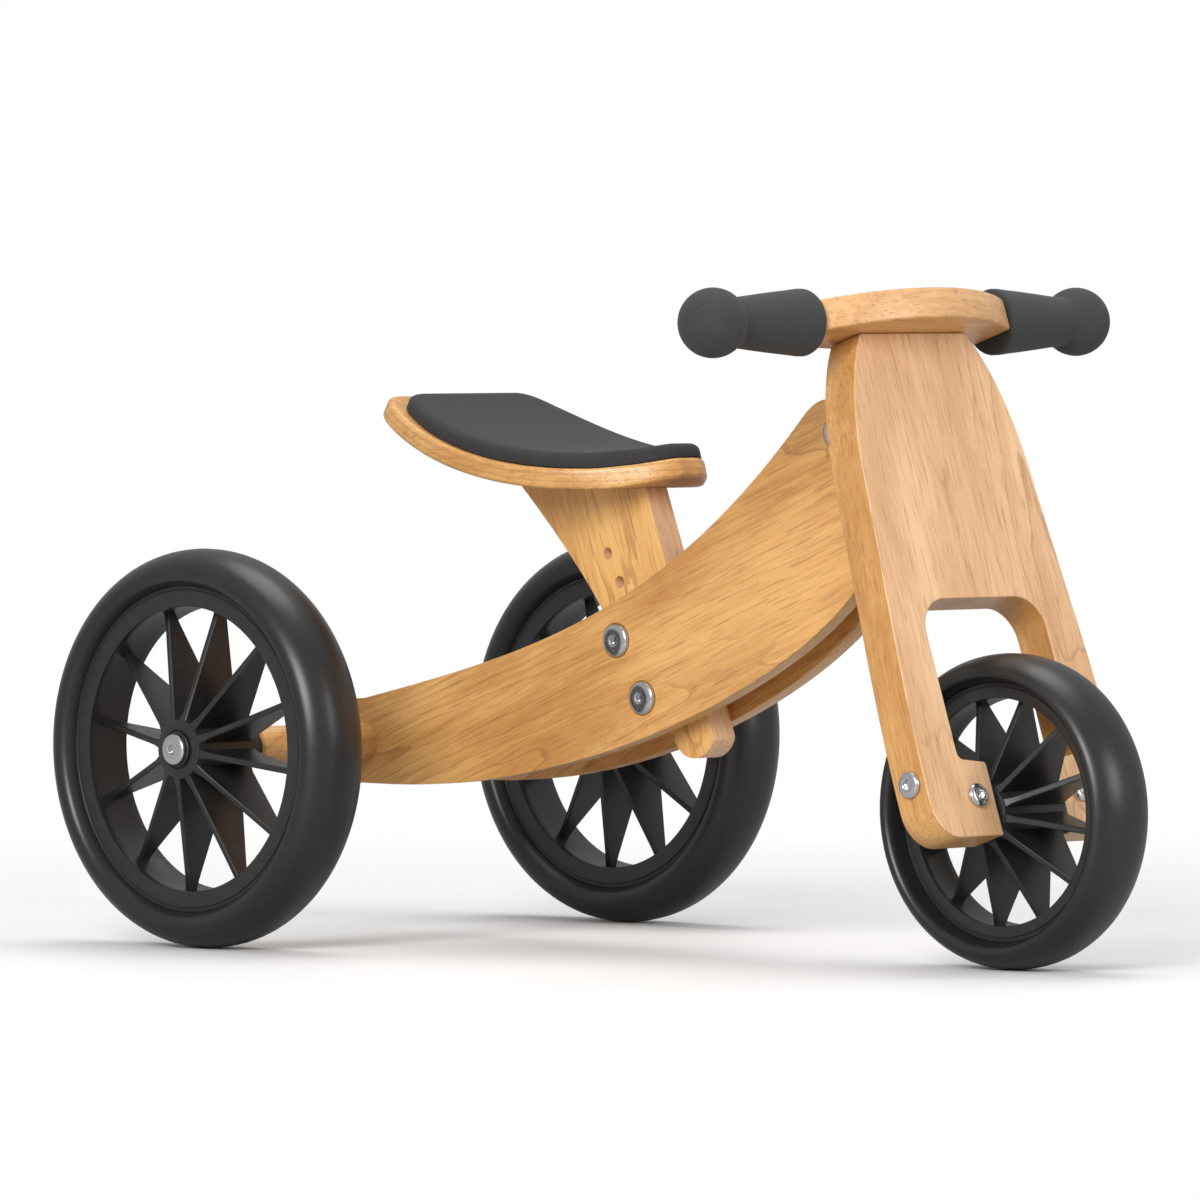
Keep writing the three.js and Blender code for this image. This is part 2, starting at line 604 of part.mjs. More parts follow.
// A bent board between two depths under the seat's top face, cut to a plan. Its side view
// follows one radius behind the lowest point and a smaller one ahead of it.
function bentBoard(upper, lower, plan) {
  const shape = new THREE.Shape();
  const low = -QUARTER_TURN;
  const from = low - 0.26 * HALF_TURN;
  const to = low + 0.16 * HALF_TURN;
  const { x, z } = SEAT_LOW;
  shape.absarc(x, z + SEAT_BEND_R, SEAT_BEND_R + lower, from, low, false);
  shape.absarc(x, z + SEAT_NOSE_R, SEAT_NOSE_R + lower, low, to, false);
  shape.absarc(x, z + SEAT_NOSE_R, SEAT_NOSE_R + upper, to, low, true);
  shape.absarc(x, z + SEAT_BEND_R, SEAT_BEND_R + upper, low, from, true);
  shape.closePath();
  return boardXZ(shape, -90, 90, 9).intersect(boardXY(plan, 200, 320, 5));
}
let seatBoard = bentBoard(0, SEAT_THICK, seatPlan(0, SEAT_REAR, SEAT_NOSE));
for (const x of SEAT_SCREWS) {
  seatBoard = seatBoard.subtract(alongZ(rod(SCREW_R + FIT, 0, 60), SMALL, x, 0, seatTop(x) - 30));
  seatBoard = seatBoard.subtract(alongZ(rod(SCREW_HEAD_R + 0.5, 0, 20), SMALL, x, 0, seatTop(x) - 3.2));
}
piece(trike, 'seat_board', seatBoard, finish(BEAM_WOOD, 0.42));
SEAT_SCREWS.forEach((x, i) => {
  const head = seatTop(x) - 0.8;
  const screw = alongZ([
    [0, head - 26], [SCREW_R, head - 26], [SCREW_R, head - 2], [SCREW_HEAD_R, head - 2],
    [SCREW_HEAD_R, head], [0, head],
  ], SMALL, x);
  piece(trike, `seat_screw_${i + 1}`, screw, finish(STEEL, 0.35, 1));
});
const padPlan = seatPlan(PAD_INSET, SEAT_REAR + PAD_REAR_INSET, SEAT_NOSE - PAD_NOSE_INSET);
piece(trike, 'seat_pad', bentBoard(-FIT - PAD_THICK, -FIT, padPlan), finish(FOAM, 0.9));

// ---------------------------------------------------------------- steering panel
const panelRear = PANEL_FRONT - PANEL_THICK;

function panelOutline() {
  const shape = new THREE.Shape();
  const legs = (s) => [
    [s * PANEL_TOP_HALF, PANEL_TOP],
    [s * 52, 228, s * 60, 200, s * PANEL_SHOULDER.y, PANEL_SHOULDER.z],
    [s * 64.5, 132, s * 72, 75, s * PANEL_FOOT_HALF, 14],
  ];
  const right = legs(1);
  shape.moveTo(-PANEL_TOP_HALF, PANEL_TOP);
  shape.lineTo(...right[0]);
  shape.bezierCurveTo(...right[1]);
  shape.bezierCurveTo(...right[2]);
  shape.lineTo(PANEL_FOOT_HALF, PANEL_BOTTOM + FOOT_CORNER_R);
  shape.absarc(PANEL_FOOT_HALF - FOOT_CORNER_R, PANEL_BOTTOM + FOOT_CORNER_R, FOOT_CORNER_R,
    0, -QUARTER_TURN, true);
  shape.lineTo(LUG_HALF, PANEL_BOTTOM);
  shape.lineTo(LUG_HALF, LUG_TOP - 2);
  shape.lineTo(LUG_HALF + 2, LUG_TOP);
  shape.lineTo(SLOT_HALF - 4, LUG_TOP + 1.5);
  shape.quadraticCurveTo(SLOT_HALF, LUG_TOP + 2, SLOT_HALF, LUG_TOP + 6);
  shape.lineTo(SLOT_HALF, SLOT_TOP - SLOT_CORNER_R);
  shape.absarc(SLOT_HALF - SLOT_CORNER_R, SLOT_TOP - SLOT_CORNER_R, SLOT_CORNER_R,
    0, QUARTER_TURN, false);
  shape.absarc(SLOT_CORNER_R - SLOT_HALF, SLOT_TOP - SLOT_CORNER_R, SLOT_CORNER_R,
    QUARTER_TURN, HALF_TURN, false);
  shape.lineTo(-SLOT_HALF, LUG_TOP + 6);
  shape.quadraticCurveTo(-SLOT_HALF, LUG_TOP + 2, 4 - SLOT_HALF, LUG_TOP + 1.5);
  shape.lineTo(-LUG_HALF - 2, LUG_TOP);
  shape.lineTo(-LUG_HALF, LUG_TOP - 2);
  shape.lineTo(-LUG_HALF, PANEL_BOTTOM);
  shape.lineTo(FOOT_CORNER_R - PANEL_FOOT_HALF, PANEL_BOTTOM);
  shape.absarc(FOOT_CORNER_R - PANEL_FOOT_HALF, PANEL_BOTTOM + FOOT_CORNER_R, FOOT_CORNER_R,
    -QUARTER_TURN, -HALF_TURN, true);
  const left = legs(-1);
  shape.lineTo(-PANEL_FOOT_HALF, 14);
  shape.bezierCurveTo(left[2][2], left[2][3], left[2][0], left[2][1], left[1][4], left[1][5]);
  shape.bezierCurveTo(left[1][2], left[1][3], left[1][0], left[1][1], ...left[0]);
  shape.closePath();
  return shape;
}

const bracketScrews = [
  KNUCKLE_HIGH + RUN + 12, KNUCKLE_HIGH + RUN + 21,
  KNUCKLE_LOW - RUN - 12, KNUCKLE_LOW - RUN - 21,
];
const BRACKET_SCREW = { shankR: 1.75, headR: 3.4, head: 2, length: 14 };

function steeringPanel() {
  let body = boardYZ(panelOutline(), panelRear, PANEL_FRONT, 5);
  const axleBore = alongY(rod(AXLE_R + FIT, -FRONT_AXLE_HALF - FIT, FRONT_AXLE_HALF + FIT), ROUND);
  body = body.subtract(axleBore);
  for (const side of [1, -1]) {
    const lock = rod(LOCK_SCREW.shankR + FIT, -LOCK_SCREW.length - FIT, 1);
    body = body.subtract(
      alongX(lock, SMALL, PANEL_FRONT, side * LOCK_SCREW.y, LOCK_SCREW.z));
    const legFace = PANEL_FOOT_HALF - LEG_BOLT.length - FIT;
    const leg = rod(LEG_BOLT.shankR + FIT, legFace, PANEL_FOOT_HALF + 5);
    body = body.subtract(
      alongY(side > 0 ? leg : mirrorProfile(leg), SMALL, LEG_BOLT.x, 0, LEG_BOLT.z));
    const barScrew = rod(SCREW_R + FIT, PANEL_TOP - 26, PANEL_TOP + 1);
    body = body.subtract(
      alongZ(barScrew, SMALL, panelRear + PANEL_THICK / 2, side * BAR_SCREW_Y));
  }
  for (const s of bracketScrews) {
    const depth = BRACKET_SCREW.length - BRACKET_THICK + FIT;
    const screw = rod(BRACKET_SCREW.shankR + FIT, -1, depth);
    body = body.subtract(alongX(screw, SMALL, panelRear, 0, s));
  }
  return body;
}
piece(fork, 'steering_panel', steeringPanel(), finish(PANEL_WOOD, 0.42));

// ---------------------------------------------------------------- handlebar
const barLow = PANEL_TOP + FIT;
const barHigh = barLow + BAR_THICK;
const gripZ = (barLow + barHigh) / 2;
const gripX = PANEL_FRONT + GRIP_X;

function handlebar() {
  const shape = new THREE.Shape();
  const bow = BAR_FRONT - BAR_FRONT_END;
  const frontR = (BAR_HALF ** 2 + bow ** 2) / (2 * bow);
  const sag = BAR_REAR_END - BAR_REAR;
  const rearR = (BAR_HALF ** 2 + sag ** 2) / (2 * sag);
  const frontAngle = Math.asin(BAR_HALF / frontR);
  const rearAngle = Math.asin(BAR_HALF / rearR);
  shape.absarc(PANEL_FRONT + BAR_FRONT - frontR, 0, frontR, -frontAngle, frontAngle, false);
  shape.absarc(PANEL_FRONT + BAR_REAR + rearR, 0, rearR,
    HALF_TURN - rearAngle, HALF_TURN + rearAngle, false);
  shape.closePath();
  let body = boardXY(shape, barLow, barHigh, 9);
  const tenon = rod(TENON_R, -GRIP_Y, GRIP_Y);
  body = body.add(alongY(tenon, ROUND, gripX, 0, gripZ));
  for (const side of [1, -1]) {
    const place = [panelRear + PANEL_THICK / 2, side * BAR_SCREW_Y];
    body = body.subtract(alongZ(rod(SCREW_R + FIT, barLow - 1, barHigh + 1), SMALL, ...place));
    body = body.subtract(alongZ(rod(SCREW_HEAD_R + 0.5, barHigh - 3, barHigh + 1), SMALL, ...place));
  }
  return body;
}
piece(fork, 'handlebar', handlebar(), finish(PANEL_WOOD, 0.42));

['left', 'right'].forEach((name, i) => {
  const side = i === 0 ? 1 : -1;
  const head = barHigh - 0.8;
  piece(fork, `handlebar_screw_${name}`, alongZ([
    [0, head - 36], [SCREW_R, head - 36], [SCREW_R, head - 2], [SCREW_HEAD_R, head - 2],
    [SCREW_HEAD_R, head], [0, head],
  ], SMALL, panelRear + PANEL_THICK / 2, side * BAR_SCREW_Y), finish(STEEL, 0.35, 1));
});

// A soft grip: a tapered sleeve that ends in a ball, over the bar's round tenon.
function grip(side) {
  const start = BAR_HALF + FIT;
  const joint = GRIP_Y - Math.sqrt(GRIP_BALL_R ** 2 - (GRIP_OUTER_R - 1) ** 2);
  const bore = TENON_R + FIT;
  const profile = [
    [bore, start], [GRIP_INNER_R - 1.5, start], [GRIP_INNER_R, start + 1.5],
    [GRIP_OUTER_R, joint - 3],
  ];
  const first = Math.atan2(GRIP_OUTER_R - 1, joint - GRIP_Y);
  const steps = 6;
  for (let i = 0; i <= steps; i += 1) {
    const angle = first * (1 - i / steps);
    profile.push([GRIP_BALL_R * Math.sin(angle), GRIP_Y + GRIP_BALL_R * Math.cos(angle)]);
  }
  profile[profile.length - 1][0] = 0;
  profile.push([0, GRIP_Y + FIT], [bore, GRIP_Y + FIT], [bore, start]);
  return alongY(side > 0 ? profile : mirrorProfile(profile), ROUND, gripX, 0, gripZ);
}
piece(fork, 'grip_left', grip(1), finish(GRIP_RUBBER, 0.85));
piece(fork, 'grip_right', grip(-1), finish(GRIP_RUBBER, 0.85));

// ---------------------------------------------------------------- steering brackets and pin
function bracket(side) {
  const armFrom = side > 0 ? KNUCKLE_HIGH + RUN : KNUCKLE_LOW - RUN - BRACKET_THICK;
  const face = panelRear - FIT;
  const arm = new THREE.Shape();
  arm.moveTo(face, -BRACKET_HALF);
  arm.lineTo(face, BRACKET_HALF);
  arm.lineTo(face - BRACKET_THICK, BRACKET_HALF);
  arm.lineTo(pinX + 2, BRACKET_EAR_R);
  arm.absarc(pinX, 0, BRACKET_EAR_R, QUARTER_TURN, 1.5 * HALF_TURN, false);
  arm.lineTo(face - BRACKET_THICK, -BRACKET_HALF);
  arm.closePath();
  const plate = new THREE.Shape();
  const [low, high] = side > 0
    ? [armFrom, armFrom + BRACKET_HEIGHT]
    : [armFrom + BRACKET_THICK - BRACKET_HEIGHT, armFrom + BRACKET_THICK];
  plate.moveTo(-BRACKET_HALF, low);
  plate.lineTo(BRACKET_HALF, low);
  plate.lineTo(BRACKET_HALF, high);
  plate.lineTo(-BRACKET_HALF, high);
  plate.closePath();
  let body = boardXY(arm, armFrom, armFrom + BRACKET_THICK, 5)
    .add(boardYZ(plate, face - BRACKET_THICK, face));
  body = body.subtract(alongZ(rod(PIN_R + FIT, 0, 300), ROUND, pinX));
  for (const s of bracketScrews) {
    body = body.subtract(alongX(rod(BRACKET_SCREW.shankR + FIT, -20, 5), SMALL, panelRear, 0, s));
  }
  return body;
}
piece(fork, 'steering_bracket_upper', bracket(1), finish(STEEL, 0.4, 1));
piece(fork, 'steering_bracket_lower', bracket(-1), finish(STEEL, 0.4, 1));

bracketScrews.forEach((s, i) => {
  const face = panelRear - FIT - BRACKET_THICK - FIT;
  const { shankR, headR, head, length } = BRACKET_SCREW;
  const profile = [
    [0, -head], [headR * 0.6, -head], [headR, -head * 0.4], [headR, 0], [shankR, 0],
    [shankR, length - 1], [0, length - 1],
  ];
  piece(fork, `bracket_screw_${i + 1}`, alongX(profile, SMALL, face, 0, s), finish(STEEL, 0.35, 1));
});

const pinHead = KNUCKLE_HIGH + RUN + BRACKET_THICK + FIT;
const pinFoot = KNUCKLE_LOW - RUN - BRACKET_THICK - 4;
piece(fork, 'steering_pin', alongZ([
  [0, pinFoot], [PIN_R - 1, pinFoot], [PIN_R, pinFoot + 1], [PIN_R, pinHead],
  [PIN_R + 2.5, pinHead], [PIN_R + 2.5, pinHead + 2], [PIN_R + 1, pinHead + 3], [0, pinHead + 3],
], ROUND, pinX), finish(STEEL, 0.3, 1));

// ---------------------------------------------------------------- front wheel and its fastenings
addWheel(fork, 'front', FRONT, new THREE.Vector3(0, 0, 0), RAKE);
piece(fork, 'front_axle', alongY(rod(AXLE_R, -FRONT_AXLE_HALF, FRONT_AXLE_HALF), ROUND),
  finish(STEEL, 0.3, 1));
['left', 'right'].forEach((name, i) => {
  const side = i === 0 ? 1 : -1;
  const lock = boltProfile(LOCK_SCREW.headR, LOCK_SCREW.head, LOCK_SCREW.shankR, LOCK_SCREW.length);
  piece(fork, `axle_lock_screw_${name}`,
    alongX(lock, SMALL, PANEL_FRONT + FIT, side * LOCK_SCREW.y, LOCK_SCREW.z),
    finish(STEEL, 0.25, 1));
  const leg = boltProfile(LEG_BOLT.headR, LEG_BOLT.head, LEG_BOLT.shankR, LEG_BOLT.length);
  piece(fork, `leg_bolt_${name}`,
    alongY(side > 0 ? leg : mirrorProfile(leg), SMALL, LEG_BOLT.x,
      side * (PANEL_FOOT_HALF + FIT), LEG_BOLT.z),
    finish(STEEL, 0.25, 1));
});

export default trike;
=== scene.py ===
# %% [markdown]
# # A toddler's wooden balance trike
# Two splayed plywood beams run from a hidden steering head back to the rear axle. A bent seat
# stands on a post between them, a forked panel steers the front wheel, and three finned wheels
# carry soft tyres. The CAD frame gives the axles, the steering axis and the pieces to replace.
# The outlines below repeat its sizes and add smooth shapes, rounded edges and finishes.

# %% Load the frame
import json
import math
import bpy
import bmesh
from mathutils import Matrix, Vector


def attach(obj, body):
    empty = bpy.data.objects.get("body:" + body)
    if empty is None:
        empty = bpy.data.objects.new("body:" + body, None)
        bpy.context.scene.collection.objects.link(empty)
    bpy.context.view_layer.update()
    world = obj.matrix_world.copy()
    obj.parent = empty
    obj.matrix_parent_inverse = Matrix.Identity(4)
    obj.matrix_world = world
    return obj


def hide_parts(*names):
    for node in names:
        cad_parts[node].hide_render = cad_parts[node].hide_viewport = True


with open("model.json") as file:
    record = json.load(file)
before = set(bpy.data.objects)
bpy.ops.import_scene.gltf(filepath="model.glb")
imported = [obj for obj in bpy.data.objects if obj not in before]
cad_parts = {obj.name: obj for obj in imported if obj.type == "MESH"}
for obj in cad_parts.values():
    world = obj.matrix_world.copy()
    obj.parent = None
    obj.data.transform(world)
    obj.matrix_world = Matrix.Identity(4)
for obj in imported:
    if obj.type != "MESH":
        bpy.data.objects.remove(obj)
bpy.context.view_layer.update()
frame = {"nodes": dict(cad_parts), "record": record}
scene = bpy.context.scene
MM = 0.001
joints = {j["name"]: j for j in frame["record"]["behaviour"]["joints"]}
REAR_AXLE = Vector(joints["rear_wheel_right_spin"]["pos_m"])
REAR_AXLE.y = 0
FRONT_AXLE = Vector(joints["front_wheel_spin"]["pos_m"])
STEER_AXIS = Vector(joints["steer"]["axis"])
RAKE = math.atan2(-STEER_AXIS.x, STEER_AXIS.z)
HALF_TRACK = joints["rear_wheel_left_spin"]["pos_m"][1] / MM
print("rear axle", REAR_AXLE, "front axle", FRONT_AXLE, "rake", round(math.degrees(RAKE), 2))

# %% [markdown]
# ## Drawing tools
# The wooden pieces are boards sawn to an outline. `Outline` collects the outline's points from
# straight runs, curves and arcs. Each board is then the outline swept through its thickness,
# with a place function that puts the flat drawing into the trike: upright between the wheels,
# splayed like the beams, or leaning like the fork.

# %% Outlines
class Outline:
    """Points of a sawn outline, in millimetres."""

    def __init__(self, x, y):
        self.points = [(x, y)]

    def line(self, x, y):
        self.points.append((x, y))
        return self

    def cubic(self, ax, ay, bx, by, x, y, steps=26):
        x0, y0 = self.points[-1]
        for i in range(1, steps + 1):
            t = i / steps
            u = 1 - t
            self.points.append((
                u**3 * x0 + 3 * u * u * t * ax + 3 * u * t * t * bx + t**3 * x,
                u**3 * y0 + 3 * u * u * t * ay + 3 * u * t * t * by + t**3 * y))
        return self

    def quad(self, ax, ay, x, y, steps=14):
        x0, y0 = self.points[-1]
        return self.cubic(x0 + (ax - x0) * 2 / 3, y0 + (ay - y0) * 2 / 3,
                          x + (ax - x) * 2 / 3, y + (ay - y) * 2 / 3, x, y, steps)

    def arc(self, cx, cy, radius, start, end, steps=14):
        """An arc between two angles in degrees, the first point included."""
        for i in range(steps + 1):
            a = math.radians(start + (end - start) * i / steps)
            self.points.append((cx + radius * math.cos(a), cy + radius * math.sin(a)))
        return self

    def clean(self):
        """The points without the ones that fall on the one before."""
        kept = []
        for p in self.points:
            if not kept or math.dist(p, kept[-1]) > 0.05:
                kept.append(p)
        if math.dist(kept[0], kept[-1]) < 0.05:
            kept.pop()
        return kept


def in_trike(x, y, z):
    """A point counted in millimetres from the floor under the rear axle."""
    return Vector((REAR_AXLE.x + x * MM, y * MM, z * MM))


FORK = Matrix.Translation(FRONT_AXLE) @ Matrix.Rotation(-RAKE, 4, "Y")


def in_fork(x, y, z):
    """A point counted in millimetres from the front axle, in the leaning fork's frame."""
    return FORK @ Vector((x * MM, y * MM, z * MM))


# %% Solids
def new_object(name, mesh):
    piece = bpy.data.objects.new(name, mesh)
    scene.collection.objects.link(piece)
    return piece


def from_bmesh(name, bm):
    bmesh.ops.recalc_face_normals(bm, faces=bm.faces)
    mesh = bpy.data.meshes.new(name)
    bm.to_mesh(mesh)
    bm.free()
    return new_object(name, mesh)


def board(name, outline, place, near, far):
    """The outline swept from near to far; place(u, v, w) says where each point goes."""
    bm = bmesh.new()
    points = outline.clean() if isinstance(outline, Outline) else outline
    low = [bm.verts.new(place(u, v, near)) for u, v in points]
    high = [bm.verts.new(place(u, v, far)) for u, v in points]
    bm.faces.new(low)
    bm.faces.new(list(reversed(high)))
    count = len(points)
    for i in range(count):
        j = (i + 1) % count
        bm.faces.new((low[j], low[i], high[i], high[j]))
    return from_bmesh(name, bm)


def circle(x, y, radius, steps=32):
    return [(x + radius * math.cos(2 * math.pi * i / steps),
             y + radius * math.sin(2 * math.pi * i / steps)) for i in range(steps)]


def turned(name, profile, place, sides=64, hexes=()):
    """A turned piece: profile points are (radius, distance along its axis). Rings whose number
    is in hexes are six-sided, as in the socket of a bolt."""
    bm = bmesh.new()
    rings = []
    for n, (radius, along) in enumerate(profile):
        if radius < 1e-6:
            rings.append([bm.verts.new(place(0, 0, along))])
            continue
        ring = []
        for i in range(sides):
            a = 2 * math.pi * i / sides
            r = radius
            if n in hexes:
                r = radius / math.cos((a + math.pi / 6) % (math.pi / 3) - math.pi / 6)
            ring.append(bm.verts.new(place(r * math.cos(a), r * math.sin(a), along)))
        rings.append(ring)
    closed = len(rings[0]) > 1
    pairs = list(zip(rings, rings[1:]))
    if closed:
        pairs.append((rings[-1], rings[0]))
    for a, b in pairs:
        for i in range(sides):
            j = (i + 1) % sides
            corners = [a[i % len(a)], a[j % len(a)], b[j % len(b)], b[i % len(b)]]
            distinct = list(dict.fromkeys(corners))
            if len(distinct) > 2:
                bm.faces.new(distinct)
    return from_bmesh(name, bm)


def smooth_curve(points, steps=5):
    """A smooth curve through the given profile points."""
    out = []
    for i in range(len(points) - 1):
        p0 = Vector(points[max(i - 1, 0)])
        p1, p2 = Vector(points[i]), Vector(points[i + 1])
        p3 = Vector(points[min(i + 2, len(points) - 1)])
        for k in range(steps):
            t = k / steps
            q = 0.5 * (2 * p1 + (p2 - p0) * t + (2 * p0 - 5 * p1 + 4 * p2 - p3) * t * t
                       + (3 * p1 - p0 - 3 * p2 + p3) * t**3)
            out.append((q.x, q.y))
    out.append(tuple(points[-1]))
    return out


def apply_modifiers(piece, angle=32):
    """Bakes a piece's modifiers into its mesh and keeps edges sharper than angle as creases."""
    bpy.context.view_layer.update()
    graph = bpy.context.evaluated_depsgraph_get()
    mesh = bpy.data.meshes.new_from_object(piece.evaluated_get(graph))
    piece.modifiers.clear()
    piece.data = mesh
    mesh.shade_smooth()
    mesh.set_sharp_from_angle(angle=math.radians(angle))
    return piece


def cut(piece, cutters):
    """Takes the cutters out of the piece."""
    for cutter in cutters:
        modifier = piece.modifiers.new("cut", "BOOLEAN")
        modifier.operation = "DIFFERENCE"
        modifier.solver = "EXACT"
        modifier.object = cutter
    apply_modifiers(piece)
    for cutter in cutters:
        bpy.data.objects.remove(cutter)
    return piece


def rounded(piece, width, segments=4):
    """Rounds over the sawn edges, as a router and sandpaper do."""
    bevel = piece.modifiers.new("round", "BEVEL")
    bevel.width = width * MM
    bevel.segments = segments
    bevel.limit_method = "ANGLE"
    bevel.angle_limit = math.radians(40)
    bevel.use_clamp_overlap = True
    weighted = piece.modifiers.new("flat faces stay flat", "WEIGHTED_NORMAL")
    weighted.keep_sharp = True
    weighted.weight = 90
    piece.data.shade_smooth()
    return kept_flat(apply_modifiers(piece, 60))


BROAD_FACE = 400  # square millimetres: a face this large is the flat side of a board


def kept_flat(piece):
    """Sets the shading normals of the broad faces square to them, which cut holes had bent."""
    mesh = piece.data
    normals = [corner.vector.copy() for corner in mesh.corner_normals]
    for face in mesh.polygons:
        if face.area > BROAD_FACE * MM * MM:
            for corner in face.loop_indices:
                normals[corner] = face.normal.copy()
    mesh.normals_split_custom_set(normals)
    return piece


def across(cx, cz):
    """Place function for a piece whose axis runs along Y through (cx, cz) in the trike."""
    return lambda u, v, w: in_trike(cx + u, w, cz + v)


def splayed(x, outer):
    """Where a beam's outer face, or a point inside it, lies across the trike."""
    return BEAM_REAR_Y - BEAM_SPLAY * x - outer * math.hypot(1, BEAM_SPLAY)


BEAM_REAR_Y = 41.5
BEAM_SPLAY = 0.0779
BEAM_THICK = 10

# %% [markdown]
# ## Building finishes from shared effects
# The same three effects return in several finishes: wood figure, fine speckle and rubbed edges.
# Each is a shader group made once. `Shader` is a short hand for adding nodes and links.

# %% Shader helper
class Shader:
    """A material or group tree with short ways to add nodes."""

    def __init__(self, tree):
        self.tree = tree

    def add(self, kind, inputs=(), **settings):
        node = self.tree.nodes.new(kind)
        for key, value in settings.items():
            setattr(node, key, value)
        for key, value in dict(inputs).items():
            socket = node.inputs[key]
            if isinstance(value, bpy.types.NodeSocket):
                self.tree.links.new(value, socket)
            else:
                socket.default_value = value
        return node

    def math(self, operation, a, b=0.0, c=0.0):
        return self.add("ShaderNodeMath", {0: a, 1: b, 2: c}, operation=operation).outputs[0]

    def mix(self, factor, a, b, blend="MIX"):
        node = self.add("ShaderNodeMix", {0: factor, 6: a, 7: b}, data_type="RGBA", blend_type=blend)
        return node.outputs[2]

    def noise(self, vector, scale, detail=3.0, rough=0.55, distortion=0.0):
        node = self.add("ShaderNodeTexNoise", {
            "Vector": vector, "Scale": scale, "Detail": detail,
            "Roughness": rough, "Distortion": distortion})
        return node.outputs[0]

    def spread(self, value, low, high, to_low=0.0, to_high=1.0):
        node = self.add("ShaderNodeMapRange", {
            0: value, 1: low, 2: high, 3: to_low, 4: to_high}, interpolation_type="SMOOTHSTEP")
        return node.outputs[0]

    def mapped(self, vector, scale, rotation=(0, 0, 0), location=(0, 0, 0)):
        node = self.add("ShaderNodeMapping", {
            "Vector": vector, "Scale": scale, "Rotation": rotation, "Location": location})
        return node.outputs[0]


def group(name, inputs, outputs):
    """A new shader group with its sockets, and its input and output nodes."""
    tree = bpy.data.node_groups.new(name, "ShaderNodeTree")
    for label, kind, default in inputs:
        socket = tree.interface.new_socket(label, in_out="INPUT", socket_type=kind)
        if default is not None:
            socket.default_value = default
    for label, kind in outputs:
        tree.interface.new_socket(label, in_out="OUTPUT", socket_type=kind)
    source = tree.nodes.new("NodeGroupInput").outputs
    sink = tree.nodes.new("NodeGroupOutput").inputs
    return Shader(tree), source, sink


VALUE, VECTOR, COLOUR = "NodeSocketFloat", "NodeSocketVector", "NodeSocketColor"

# %% [markdown]
# ### Varnished hardwood veneer
# The boards are plywood faced with an oak-like veneer. Its grain runs one way: thin growth
# lines that close into cathedral arches, fine streaks, short dark pores and now and then a small
# knot that the lines bend round. Along the sawn edges the plies show as thin darker lines.

